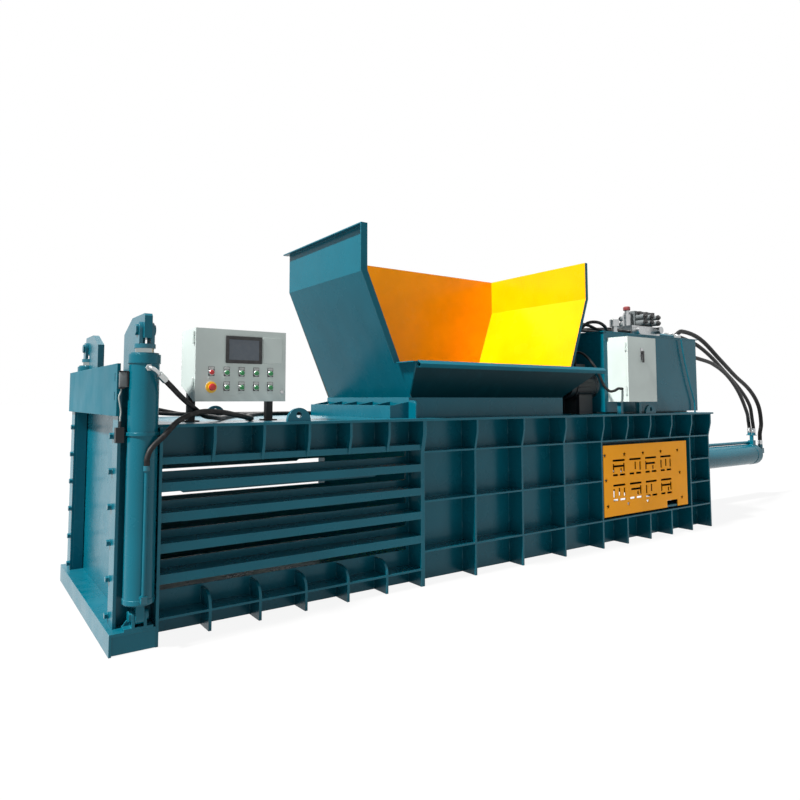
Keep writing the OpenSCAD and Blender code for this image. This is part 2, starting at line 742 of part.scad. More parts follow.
front_line = [[feed_a, collar_top], [feed_a - spread_front, kink_z], [feed_a - spread_front, rim_z]];
rear_line = [[feed_b, collar_top], [feed_b + spread_rear, kink_z], [feed_b + spread_rear, rim_z]];
wall_near = half_w + 30;
wall_far = half_w - 10;
lip_z = collar_top + lip_rise;
lip_y = collar_y + lip_reach;
wing_x = feed_a - spread_front * lip_rise / slant_h;
module hopper_left_wall() color(teal) {
    xz_plate(-wall_near, wall_near + wall_far) polygon(level_sheet(front_line, -sheet_t));
    intersection() {
        xz_plate(-wall_near - 8, 8) polygon(level_sheet(front_line, -edge_w));
        span([0, -wall_near - 8, lip_z - 8], [feed_b, -wall_near, rim_z]);
    }
    span([feed_a - spread_front - edge_w, -wall_near, rim_z - 8],
        [feed_a - spread_front - sheet_t, wall_far + 40, rim_z]);
    intersection() {
        xz_plate(-lip_y, lip_y - wall_near + eps) polygon(level_sheet(front_line, -sheet_t));
        yz_plate(wing_x - sheet_t, feed_a - wing_x + sheet_t) mirror([1, 0]) polygon([
            [wall_near - eps, collar_top + lip_rise * (wall_near - collar_y) / lip_reach],
            [lip_y, lip_z], [wall_near - eps, lip_z]
        ]);
    }
    span([wing_x - 30, -lip_y, lip_z - 8], [wing_x, -wall_near - 8, lip_z]);
}

module hopper_right_wall() color(teal) {
    difference() {
        union() {
            xz_plate(-wall_near, wall_near + wall_far) polygon(level_sheet(rear_line, sheet_t));
            xz_plate(-wall_near - 8, 8) polygon(level_sheet(rear_line, edge_w * 0.66));
        }
        yz_plate(feed_b - eps, lip_spread) mirror([1, 0]) polygon([
            [collar_y - lip_foot, collar_top - eps], [collar_y - lip_foot, collar_top],
            [lip_y - lip_foot, lip_z], [lip_y + 50, lip_z], [lip_y + 50, collar_top - eps]
        ]);
    }
    span([feed_b + spread_rear + sheet_t, -wall_near, rim_z - 8],
        [feed_b + spread_rear + edge_w * 0.66, wall_far, rim_z]);
}

module hopper_back_wall() color([0.95, 0.55, 0.10]) {
    xz_plate(wall_far, 8) polygon(concat(
        [for (i = [0:2]) front_line[i] + (i == 0 ? [-collar_t, 0] : [-sheet_t, 0])],
        [for (i = [2:-1:0]) rear_line[i] + (i == 0 ? [collar_t, 0] : [sheet_t, 0])]));
    span([feed_a - spread_front + 2, wall_far + 8, rim_z - 8], [feed_b + spread_rear, wall_far + 40, rim_z]);
}

// Front lip: a leaning plate on the collar's near wall, with a square tube under its rim
lip_foot = lip_t * norm([lip_rise, lip_reach]) / lip_rise;
lip_angle = atan2(lip_rise, lip_reach);
rim_s = 34;
lip_over = 20;
module lip_trim() xz_plate(-lip_y - 60, lip_y + 60) polygon([
    [feed_a, collar_top], [feed_b, collar_top], [feed_b + lip_spread, lip_z],
    [feed_b + lip_spread, lip_z + lip_over], [wing_x - lip_over * spread_front / slant_h, lip_z + lip_over]
]);
module rim_trim() xz_plate(-lip_y - 60, lip_y + 60) polygon([
    [feed_a, collar_top], [feed_b + lip_spread, collar_top],
    [feed_b + lip_spread, lip_z + lip_over], [wing_x - lip_over * spread_front / slant_h, lip_z + lip_over]
]);
module front_lip() color([0.06, 0.22, 0.26]) {
    intersection() {
        yz_plate(wing_x, feed_b + lip_spread - wing_x) mirror([1, 0]) polygon([
            [collar_y - lip_foot, collar_top], [collar_y, collar_top],
            [lip_y, lip_z], [lip_y - lip_foot, lip_z]
        ]);
        lip_trim();
    }
    intersection() {
        rim_trim();
        rim_tube();
    }
}
module rim_tube() {
    translate([wing_x + 2, -lip_y, lip_z]) rotate([-lip_angle, 0, 0]) difference() {
        translate([0, -6, -rim_s]) cube([feed_b + lip_spread - wing_x - 2, rim_s, rim_s + eps / 2]);
        translate([-eps, -3, -rim_s + 3]) cube([feed_b + lip_spread - wing_x, rim_s - 6, rim_s - 6]);
    }
}

beam_x = feed_a - collar_t - beam_l + 12;
beam_half = collar_y - 2;
module shear_beam() color(teal) {
    span([beam_x, -beam_half, roof_top], [beam_x + 16, beam_half, roof_top + beam_h]);
    for (i = [0:beam_pockets]) translate([0, -beam_half + i * (2 * beam_half - 16) / beam_pockets, 0])
        xz_plate(0, 16) polygon([
            [beam_x + 16, roof_top], [beam_x + 16, roof_top + beam_h],
            [feed_a - collar_t, roof_top + beam_h + 25], [feed_a - collar_t, roof_top]
        ]);
}

module shear_blade() color(steel) difference() {
    span([feed_a, -half_w + 4, roof_under - ram_top_gap + 3], [feed_a + 24, half_w - 4, roof_top + 50]);
    for (i = [-4:4]) translate([feed_a + 25, i * half_w / 4.6, roof_top + 20]) rotate([0, -90, 0])
        cylinder(r1 = 15, r2 = 9, h = 12);
}

// Lifting lugs on the roof plate
lug_r = 75;
lug_hole = 18;
lug_t = 20;
lug_y = rib_y - lug_t / 2;
lug_x = [788, feed_x + 2 * rear_pitch + 36];
module lifting_lugs() color(teal) both_sides() for (x = lug_x) xz_plate(lug_y, lug_t) difference() {
    union() {
        translate([x - lug_r, roof_top]) square([2 * lug_r, 4]);
        intersection() {
            translate([x, roof_top + 3]) circle(lug_r);
            translate([x - lug_r, roof_top]) square([2 * lug_r, lug_r + 10]);
        }
    }
    translate([x, roof_top + 38]) circle(lug_hole);
}

// Oil tank, motor, pump and valves

tank_z0 = roof_top + skid_h;
tank_z1 = tank_z0 + tank_h;
tank_far = tank_w - tank_near;
module oil_tank() color(teal) {
    difference() {
        span([tank_x, -tank_near, tank_z0], [tank_x + tank_l, tank_far, tank_z1]);
        span([tank_x + tank_t, -tank_near + tank_t, tank_z0 + tank_t],
            [tank_x + tank_l - tank_t, tank_far - tank_t, tank_z1 - tank_t]);
    }
    span([tank_x - 15, -tank_near - 15, tank_z1], [tank_x + tank_l + 15, tank_far + 15, tank_z1 + 8]);
    for (y = [-tank_near + 100, tank_far - 180]) {
        span([tank_x + 20, y, roof_top], [tank_x + tank_l - 20, y + 80, tank_z0]);
    }
    for (y = [0.42, 0.62, 0.82]) {
        span([tank_x - 40, -tank_near + y * tank_w, tank_z0], [tank_x, -tank_near + y * tank_w + 8, tank_z1]);
    }
    span([tank_x + 500, -tank_near - 8, tank_z0 + 120], [tank_x + 510, -tank_near, tank_z1 - 90]);
}

module filler_cap() color(steel) {
    rod_z([tank_x + 325, -tank_near + 120, tank_z1 + 8], 24, 70);
    rod_z([tank_x + 325, -tank_near + 120, tank_z1 + 78], 42, 62);
}

motor_z = roof_top + motor_rise;
bell_l = 50;
box_rise = motor_r + 62;
motor_x = tank_x - bell_l - motor_l;
module pump_block() color(steel) {
    rod_x([tank_x - bell_l, -motor_y, motor_z], motor_r - 8, 12);
    rod_x([tank_x - bell_l, -motor_y, motor_z], motor_r - 34, bell_l);
    rod_x([tank_x - 12, -motor_y, motor_z], motor_r - 8, 12);
}
module motor() color(black) {
    rod_x([motor_x, -motor_y, motor_z], motor_r, motor_l);
    for (a = [0:20:340]) rotate_fin(a);
    span([motor_x + 50, -motor_y - 55, motor_z + motor_r - 6], [motor_x + 170, -motor_y + 55, motor_z + box_rise]);
    difference() {
        rod_y([motor_x + 208, -motor_y - 6, motor_z + motor_r + 20], 24, 12);
        rod_y([motor_x + 208, -motor_y - 7, motor_z + motor_r + 20], 12, 14);
    }
    rod_x([motor_x - 48, -motor_y, motor_z], 16, 49);
    for (y = [-100, 60])
        span([motor_x + 30, -motor_y + y, roof_top], [motor_x + 200, -motor_y + y + 40, motor_z - 80]);
}
module rotate_fin(a) translate([motor_x + 20, -motor_y, motor_z]) rotate([a, 0, 0])
    translate([0, -2.5, motor_r - 4]) cube([motor_l - 60, 5, 16]);

module motor_fan() color(black)
    translate([motor_x - 40, -motor_y, motor_z]) rotate([0, 90, 0]) difference() {
    union() {
        cylinder(r = 30, h = 30);
        for (a = [0:45:315]) rotate([0, 0, a]) translate([26, -2.5, 0]) cube([motor_r - 54, 5, 30]);
    }
    translate([0, 0, -eps]) cylinder(r = 16 + run_gap, h = 32);
}

module fan_cowl() color(black) translate([motor_x, -motor_y, motor_z]) rotate([0, -90, 0]) difference() {
    cylinder(r = motor_r - 6, h = 60);
    translate([0, 0, -eps]) cylinder(r = motor_r - 9, h = 58);
    for (r = [28, 48, 68, 88]) difference() {
        translate([0, 0, 50]) cylinder(r = r + 12, h = 20);
        translate([0, 0, 49]) cylinder(r = r, h = 22);
        for (a = [0, 90]) rotate([0, 0, a]) translate([-130, -4, 48]) cube([260, 8, 30]);
    }
}

valve_x = tank_x + 650;
valve_z = tank_z1 + 8;
module valve_block() color(steel) {
    span([valve_x, -440, valve_z], [valve_x + 440, -250, valve_z + 110]);
    rod_z([valve_x + 60, -345, valve_z + 110], 38, 110);
    rod_z([valve_x + 60, -345, valve_z + 220], 22, 40);
    rod_y([valve_x + 60, -490, valve_z + 60], 34, 51);
    rod_y([valve_x + 395, -490, valve_z + 80], 34, 51);
}

valve_stations = [for (i = [0:2]) valve_x + 120 + i * 105];
module solenoid_valves() color([0.45, 0.5, 0.52]) for (x = valve_stations) {
    span([x, -390, valve_z + 110], [x + 72, -300, valve_z + 230]);
    for (z = [145, 200]) {
        rod_y([x + 36, -470, valve_z + z], 24, 80);
        rod_y([x + 36, -300, valve_z + z], 24, 80);
    }
    span([x + 14, -380, valve_z + 230], [x + 58, -310, valve_z + 262]);
}

// Pipes: tubes over the tank, the side pipe, the drain pipe and the pipe along the main barrel
port_x = main_x1 - 75;
port_y = -30;
main_pipe_z = main_z + main_r + 22;
port_top = main_z + main_r + 110;
tube_end = tank_x + tank_l + 10;
tube_out = 97;
side_port_z = 1650;
coupling_z = 868;
coupling_h = 24;
module steel_pipes() color(teal) {
    for (i = [1:2]) {
        rod_x([valve_x + 440, -420 + i * 70, valve_z + 34 + i * 18], 13, tube_end - valve_x - 440);
    }
    rod_x([tank_x + tank_l, -420, side_port_z], 16, tube_end - tank_x - tank_l);
    rod_x([main_x0 + flange_l, 0, main_pipe_z], 18, port_x - 30 - main_x0 - flange_l);
    difference() {
        span([port_x - 30, port_y - 32, main_z], [port_x + 30, port_y + 32, main_z + main_r + 50]);
        rod_x([port_x - 31, 0, main_z], main_r + 3, 62);
    }
    rod_z([port_x, port_y, main_z + main_r + 50], 22, port_top - main_z - main_r - 50);
    hose([
        [4900, -tank_near - 24, tank_z1 - 10], [4930, -tank_near - 24, 1650], [5010, -tank_near - 24, 1400],
        [5092, -tank_near - 24, 1200], [5100, -tank_near - 24, 1150], [5100, -tank_near - 24, 1120],
        [5100, -tank_near - 24, roof_top + seat]
    ], 8);
    both_sides() rod_z([lift_x, lift_y + tube_out, port_low + 18], 10, coupling_z - port_low - 18);
}

// Plated fittings of the hoses
elbow_out = boss_end + 14;
module hose_fittings() color(steel) {
    both_sides() {
        translate([lift_x, lift_y + boss_end, port_high]) rotate([-90, 0, 0])
            cylinder(r = 17, h = 14, $fn = 6);
        span([lift_x - 14, lift_y + boss_end, port_low - 16], [lift_x + 14, lift_y + 112, port_low + 18]);
        rod_z([lift_x, lift_y + tube_out, coupling_z], 16, coupling_h);
    }
    for (s = [-1, 1]) {
        hose([
            [lift_x, s * (lift_y + elbow_out), port_high],
            [lift_x + 6, s * (lift_y + elbow_out + 16), port_high - 2],
            [lift_x + 28, s * (lift_y + elbow_out + 18), port_high - 16],
            [lift_x + 46, s * (lift_y + elbow_out + 9), port_high - 32]
        ], 10, 3);
        hose([
            [lift_x + 46, s * (lift_y + elbow_out + 9), port_high - 32],
            [lift_x + 82, s * (lift_y + elbow_out - 11), port_high - 62]
        ], 18, 1);
    }
    for (i = [1:2]) rod_x([tube_end, -420 + i * 70, valve_z + 34 + i * 18], 26, 50);
    rod_x([tube_end, -420, side_port_z], 24, 50);
    span([end_port_x, end_port_y - 30, end_port_z - 32], [end_port_x + 62, end_port_y + 30, end_port_z + 32]);
    rod_z([end_port_x + 31, end_port_y, end_port_z + 32], 27, 44);
    for (y = [-25, 25]) rod_z([port_x, port_y + y, port_top + 8 - eps], 22, 26 + eps);
    span([port_x - 26, port_y - 52, port_top], [port_x + 26, port_y + 52, port_top + 8]);
}

hose_start = tube_end + 50 + seat;
end_hose_x = end_port_x + 31;
end_hose_z = end_port_z + 76 + seat;
port_hose_z = port_top + 34 + seat;
module main_hoses() color(black) {
    hose([
        [hose_start, -280, valve_z + 70], [hose_start + 40, -280, valve_z + 70],
        [hose_start + 110, -280, valve_z + 70],
        [5500, -278, 1926], [5906, -250, 1868], [6400, -200, 1660], [6879, -120, 1487], [7317, -70, 1322],
        [7552, -54, 1128], [7612, -50, 905], [end_hose_x + 4, -50, 780],
        [end_hose_x, end_port_y, end_hose_z + 80], [end_hose_x, end_port_y, end_hose_z + 40],
        [end_hose_x, end_port_y, end_hose_z]
    ], 23);
    hose([
        [hose_start, -350, valve_z + 52], [hose_start + 40, -350, valve_z + 52],
        [hose_start + 120, -350, valve_z + 48],
        [5650, -345, 1790], [6006, -300, 1683], [6500, -200, 1520], [7000, -110, 1330],
        [7310, -66, 1130], [port_x - 16, port_y - 25, port_hose_z + 150],
        [port_x, port_y - 25, port_hose_z + 70],
        [port_x, port_y - 25, port_hose_z + 35], [port_x, port_y - 25, port_hose_z]
    ], 20);
    hose([
        [hose_start, -420, side_port_z], [hose_start + 40, -420, side_port_z],
        [hose_start + 110, -420, side_port_z],
        [5620, -405, 1628], [5958, -355, 1590], [6404, -270, 1480], [6850, -170, 1290],
        [7230, -70, 1040], [port_x - 34, port_y + 15, port_hose_z + 140],
        [port_x, port_y + 25, port_hose_z + 70],
        [port_x, port_y + 25, port_hose_z + 35], [port_x, port_y + 25, port_hose_z]
    ], 20);
    cable_y = cabinet_y1 - 140;
    hose([
        [cabinet_x - seat, cable_y, 1300], [cabinet_x - 30, cable_y, 1300], [cabinet_x - 60, cable_y, 1300],
        [cabinet_x - 150, -720, 1460], [motor_x + 130, -600, 1590], [motor_x + 110, -motor_y - 30, 1610],
        [motor_x + 110, -motor_y, 1570], [motor_x + 110, -motor_y, 1540],
        [motor_x + 110, -motor_y, motor_z + box_rise + seat]
    ], 11, 3);
}

// Hoses of the lift cylinders: they run along the roof and climb to the valves
lift_hose_r = 14;
roof_rest = roof_top + lift_hose_r + 1;
function along_roof(y, x) = [
    [x, y, roof_rest + 1], [x + 80, y, roof_rest], [3220, y, roof_rest], [3300, y, roof_rest + 2]
];
function from_top(s) = [
    [lift_x + 82.3, s * (lift_y + elbow_out - 11.2), port_high - 62.3],
    [lift_x + 100, s * (lift_y + elbow_out - 21), port_high - 77],
    [lift_x + 118, s * (lift_y + elbow_out - 31), port_high - 92],
    [lift_x + 190, s * (lift_y + elbow_out - 71), port_high - 152],
    [240, s * (lift_y - 95), 1128]
];
function from_bottom(s) = [
    [lift_x, s * (lift_y + tube_out), coupling_z + coupling_h + seat],
    [lift_x, s * (lift_y + tube_out), coupling_z + 40],
    [lift_x, s * (lift_y + tube_out), coupling_z + 56], [lift_x + 18, s * (lift_y + 90), 970],
    [-10, s * (lift_y + 66), 1030], [80, s * (lift_y + 20), 1106], [200, s * (lift_y - 20), 1146],
    [330, s * (lift_y - 40), 1142]
];
function to_valve(y, z) = [[valve_x - 80, y, z], [valve_x - 40, y, z], [valve_x - seat, y, z]];
roof_y = [585, 615, 645, 675];
module lift_hoses() color(black) {
    hose(concat(from_top(-1), [
        [330, -545, 1112], [400, -440, roof_rest + 4], [450, -340, roof_rest + 1], [520, -200, roof_rest],
        [620, -20, roof_rest], [740, 180, roof_rest], [860, 370, roof_rest], [990, 530, roof_rest],
        [1150, 602, roof_rest]
    ], along_roof(roof_y[1], 1320), [
        [3400, 590, roof_rest + 2], [3480, 510, roof_rest + 8], [3550, 380, roof_rest + 24], [3610, 200, 1180],
        [3664, 30, 1300], [3690, -100, 1450], [3692, -270, 1660], [3694, -380, 1800], [3720, -460, 1876],
        [3800, -505, 1886], [3920, -490, 1860], [4080, -400, valve_z + 40]
    ], to_valve(-405, valve_z + 50)), lift_hose_r);
    hose(concat(from_bottom(-1), [
        [430, -690, 1122], [510, -630, 1108], [565, -540, roof_rest + 2], [600, -430, roof_rest],
        [640, -300, roof_rest], [710, -120, roof_rest], [800, 90, roof_rest], [910, 300, roof_rest],
        [1050, 470, roof_rest], [1220, 562, roof_rest]
    ], along_roof(roof_y[0], 1400), [
        [3370, 545, roof_rest + 3], [3430, 450, roof_rest + 10], [3490, 300, 1132], [3550, 100, 1200],
        [3600, -60, 1330],
        [3648, -136, 1500], [3670, -200, 1680], [3700, -260, 1810], [3760, -320, 1880],
        [3860, -350, 1880], [4000, -350, 1850]
    ], to_valve(-350, valve_z + 36)), lift_hose_r);
    hose(concat(from_top(1), [
        [350, 650, roof_rest + 12], [460, 646, roof_rest + 4]
    ], along_roof(roof_y[2], 600), [
        [3430, 636, roof_rest + 4], [3540, 590, roof_rest + 14], [3620, 510, 1150], [3660, 430, 1250],
        [3670, 350, 1500], [3676, 290, 1740],
        [3696, 250, 1850], [3780, 190, 1880], [4060, -130, 1860]
    ], to_valve(-306, valve_z + 30)), lift_hose_r);
    hose(concat(from_bottom(1), [
        [430, 694, 1122], [520, 678, roof_rest + 4]
    ], along_roof(roof_y[3], 660), [
        [3470, 674, roof_rest + 4], [3590, 650, roof_rest + 16], [3660, 580, 1160], [3688, 500, 1260],
        [3692, 420, 1500], [3690, 350, 1740],
        [3700, 320, 1850], [3800, 250, 1880], [4100, -60, 1880]
    ], to_valve(-270, valve_z + 84)), lift_hose_r);
}

module limit_switch() color([0.3, 0.33, 0.34]) {
    span([strip_x, -strip_out - 12, 1030], [strip_x + strip_t, -strip_out, 1048]);
    span([strip_x - 18, -strip_out - 46, 1000], [strip_x + strip_t + 6, -strip_out - 12, 1075]);
    rod_z([strip_x + 4, -strip_out - 29, 1075], 7, 30);
}

// Hinge of a box: a fixed knuckle with its pin between two knuckles that swing
hinge_r = 6;
hinge_pin = 3;
knuckle = 22;
hinge_at = [60, 320];
module hinge_fixed(x, y, z) {
    rod_z([x - hinge_r, y, z + knuckle], hinge_r, knuckle);
    span([x - hinge_r, y, z + knuckle], [x + eps, y + hinge_r, z + 2 * knuckle]);
    rod_z([x - hinge_r, y, z], hinge_pin, 3 * knuckle);
}
module hinge_swing(x, y, z) for (dz = [0, 2 * knuckle + seat]) difference() {
    union() {
        rod_z([x - hinge_r, y, z + dz], hinge_r, knuckle - seat);
        span([x - hinge_r, y - hinge_r - 2, z + dz], [x + eps, y - 1.5, z + dz + knuckle - seat]);
    }
    rod_z([x - hinge_r, y, z + dz - eps], hinge_pin + run_gap, knuckle + 2 * eps);
}

// Operator box with its sloped bottom

console_z0 = roof_top + console_rise;
console_z1 = console_z0 + console_h;
console_x1 = console_x + console_w;
panel_t = 3;
door_plate = 20;
module console_case() color(pale) {
    console_shell();
    for (z = hinge_at) hinge_fixed(console_x, -console_y + door_plate, console_z0 + z);
}
module console_shell() difference() {
    yz_plate(console_x, console_w) polygon([
        [-console_y + door_plate, console_z0], [-console_y + door_plate, console_z1],
        [-console_y + console_d, console_z1], [-console_y + console_d, console_z0 + 90]
    ]);
    yz_plate(console_x + panel_t, console_w - 2 * panel_t) polygon([
        [-console_y + door_plate - eps, console_z0 + panel_t],
        [-console_y + door_plate - eps, console_z1 - panel_t],
        [-console_y + console_d - panel_t, console_z1 - panel_t],
        [-console_y + console_d - panel_t, console_z0 + 90 + panel_t]
    ]);
}

leg_s = 40;
leg_y = -console_y + 150;
leg_z = console_z0 + 90 * (150 - door_plate) / (console_d - door_plate);
module console_legs() color(black) for (x = [console_x + 12, console_x1 - 12 - leg_s]) {
    yz_plate(x, leg_s) polygon([
        [leg_y, roof_top + 8], [leg_y, leg_z], [leg_y + leg_s, leg_z + 90 * leg_s / (console_d - door_plate)],
        [leg_y + leg_s, roof_top + 8]
    ]);
    span([x - 20, leg_y - 20, roof_top], [x + leg_s + 20, leg_y + leg_s + 20, roof_top + 8]);
}

// Front of the operator box: a shallow door with holes for the buttons
button_x0 = console_x + 90;
button_z0 = console_z1 - 245;
hole_r = 11;
stem_r = 10.95;
function button_at(i) = [button_x0 + button_dx * (i % 5), button_z0 - button_dz * floor(i / 5)];
screen_w = 219;
screen_h = 155;
screen_x = console_x + 170;
screen_z = console_z1 - 36 - screen_h;

module console_door() color(pale) {
    console_front();
    for (z = hinge_at) hinge_swing(console_x, -console_y + door_plate, console_z0 + z);
}
module console_front() difference() {
    union() {
        difference() {
            span([console_x, -console_y, console_z0], [console_x1, -console_y + door_plate - seat, console_z1]);
            span([console_x + panel_t, -console_y + panel_t, console_z0 + panel_t],
                [console_x1 - panel_t, -console_y + door_plate, console_z1 - panel_t]);
        }
        span([console_x + 396, -console_y - 2, console_z1 - 36 - 150], [console_x + 516, -console_y, console_z1 - 36]);
        for (i = [0:9]) let (p = button_at(i)) {
            if (i != 5) span([p[0] - 16, -console_y - 2, p[1] - 32], [p[0] + 16, -console_y, p[1] + 18]);
            if (i != 5) difference() {
                rod_y([p[0], -console_y - 8, p[1]], button_r, 8);
                rod_y([p[0], -console_y - 9, p[1]], stem_r + 1, 10);
            }
            if (i == 5) rod_y([p[0], -console_y - 2, p[1]], 32, 2);
        }
    }
    for (i = [0:9]) let (p = button_at(i)) {
        rod_y([p[0], -console_y - 3, p[1]], hole_r, panel_t + 6);
    }
}

module touch_screen() color(black) {
    span([screen_x, -console_y - 7, screen_z], [screen_x + screen_w, -console_y, screen_z + screen_h]);
}

// Push button: a stem in the panel hole and a cap that stands proud of its collar
cap_l = 6;
module button(i, c) color(c) {
    p = button_at(i);
    rod_y([p[0], -console_y - 8 - button_travel - seat - cap_l, p[1]], button_r - 2, cap_l);
    rod_y([p[0], -console_y - 8 - button_travel - eps, p[1]], stem_r, 8 + button_travel + panel_t + 6);
}
red = [0.75, 0.08, 0.08];
green = [0.10, 0.55, 0.25];
module button_1() button(0, red);
module button_2() button(1, green);
module button_3() button(2, green);
module button_4() button(3, green);
module button_5() button(4, green);
module button_6() button(6, green);
module button_7() button(7, green);
module button_8() button(8, green);
module button_9() button(9, green);
module e_stop() color(red) {
    p = button_at(5);
    rod_y([p[0], -console_y - 30, p[1]], 20, 16);
    rod_y([p[0], -console_y - 15, p[1]], stem_r, 15 + panel_t + 6);
}

// Electric cabinet on the near side of the tank

cabinet_z0 = roof_top + cabinet_rise;
cabinet_z1 = cabinet_z0 + cabinet_h;
cabinet_y1 = -tank_near;
cabinet_y0 = cabinet_y1 - cabinet_d;
cabinet_x1 = cabinet_x + cabinet_w;
cabinet_hinge = [60, 430];
module cabinet_case() color(pale) {
    for (z = cabinet_hinge) hinge_fixed(cabinet_x, cabinet_y0 + door_plate, cabinet_z0 + z);
    difference() {
        span([cabinet_x, cabinet_y0 + door_plate, cabinet_z0], [cabinet_x1, cabinet_y1, cabinet_z1]);
        span([cabinet_x + panel_t, cabinet_y0 + door_plate - eps, cabinet_z0 + panel_t],
            [cabinet_x1 - panel_t, cabinet_y1 - panel_t, cabinet_z1 - panel_t]);
    }
    for (x = [cabinet_x + 30, cabinet_x1 - 110])
        span([x, -roof_half + 30, roof_top], [x + 30, -roof_half + 70, cabinet_z0]);
}

handle_x = cabinet_x + 195;
handle_z = cabinet_z0 + 0.76 * cabinet_h;
module cabinet_door() color(pale) {
    cabinet_front();
    for (z = cabinet_hinge) hinge_swing(cabinet_x, cabinet_y0 + door_plate, cabinet_z0 + z);
}
module cabinet_front() difference() {
    span([cabinet_x, cabinet_y0, cabinet_z0], [cabinet_x1, cabinet_y0 + door_plate - seat, cabinet_z1]);
    span([cabinet_x + panel_t, cabinet_y0 + panel_t, cabinet_z0 + panel_t],
        [cabinet_x1 - panel_t, cabinet_y0 + door_plate, cabinet_z1 - panel_t]);
    rod_y([handle_x, cabinet_y0 - eps, handle_z], 8 + run_gap, panel_t + 2 * eps);
}
module cabinet_handle() color(black) {
    rod_y([handle_x, cabinet_y0 - 12, handle_z], 8, 12 + panel_t + 6);
    span([handle_x - 10, cabinet_y0 - 20, handle_z - 85], [handle_x + 10, cabinet_y0 - 8, handle_z + 15]);
    rod_y([handle_x, cabinet_y0 - 8, handle_z], 17, 8 - seat);
}

side_wall_near();
side_wall_far();
tie_bars();
floor_plate();
top_plate();
rear_plate();
window_cover();
sill_beam();
door_posts();
guide_strips();
guard_plate();
frame_bolts();
door_panel();
door_arms();
lift_barrels();
lift_feet();
lift_rods();
lift_pins();
lift_hoses();
limit_switch();
ram_block();
ram_rod();
ram_knife();
shear_blade();
shear_beam();
main_barrel();
hopper_collar();
hopper_left_wall();
hopper_right_wall();
hopper_back_wall();
front_lip();
lifting_lugs();
oil_tank();
filler_cap();
motor();
motor_fan();
fan_cowl();
valve_block();
solenoid_valves();
steel_pipes();
main_hoses();
console_case();
console_legs();
console_door();
touch_screen();
e_stop();
button_1();
button_2();
button_3();
button_4();
button_5();
button_6();
button_7();
button_8();
button_9();
cabinet_case();
cabinet_door();
cabinet_handle();
pump_block();
hose_fittings();
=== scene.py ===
import math
import bpy
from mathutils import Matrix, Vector


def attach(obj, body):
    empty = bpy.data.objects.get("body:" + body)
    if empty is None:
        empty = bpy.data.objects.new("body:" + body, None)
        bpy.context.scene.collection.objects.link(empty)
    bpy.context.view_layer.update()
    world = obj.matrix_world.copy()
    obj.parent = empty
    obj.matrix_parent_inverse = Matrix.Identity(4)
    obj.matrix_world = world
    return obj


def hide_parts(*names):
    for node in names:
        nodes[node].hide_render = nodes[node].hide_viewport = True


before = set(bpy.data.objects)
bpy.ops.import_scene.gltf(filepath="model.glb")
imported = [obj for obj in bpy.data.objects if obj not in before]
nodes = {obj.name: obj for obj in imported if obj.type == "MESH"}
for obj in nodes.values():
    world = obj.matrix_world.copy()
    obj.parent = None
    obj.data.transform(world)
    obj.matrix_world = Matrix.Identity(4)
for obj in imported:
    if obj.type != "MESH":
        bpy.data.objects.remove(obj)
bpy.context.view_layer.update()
scene = bpy.context.scene
mesh = bpy.ops.mesh
up = Vector((0, 0, 1))
NEAR_SIDE = (0, -1, 0)

# Camera: the spot, tilt and lens that the straight edges of the machine give
CAMERA_AT = (-0.89987, -4.03992, 1.21561)
CAMERA_TILT, CAMERA_TURN = 94.046, -34.131
LENS_MM, SENSOR_MM = 28.618, 36
SHIFT_X, SHIFT_Y = 0.02416, -0.05790
FAR_CLIP = 400
bpy.ops.object.camera_add(location=CAMERA_AT,
                          rotation=(math.radians(CAMERA_TILT), 0, math.radians(CAMERA_TURN)))
camera = bpy.context.object
camera.name = "view_camera"
camera.data.lens = LENS_MM
camera.data.sensor_width = SENSOR_MM
camera.data.shift_x = SHIFT_X
camera.data.shift_y = SHIFT_Y
camera.data.clip_end = FAR_CLIP
scene.camera = camera


# Shader building

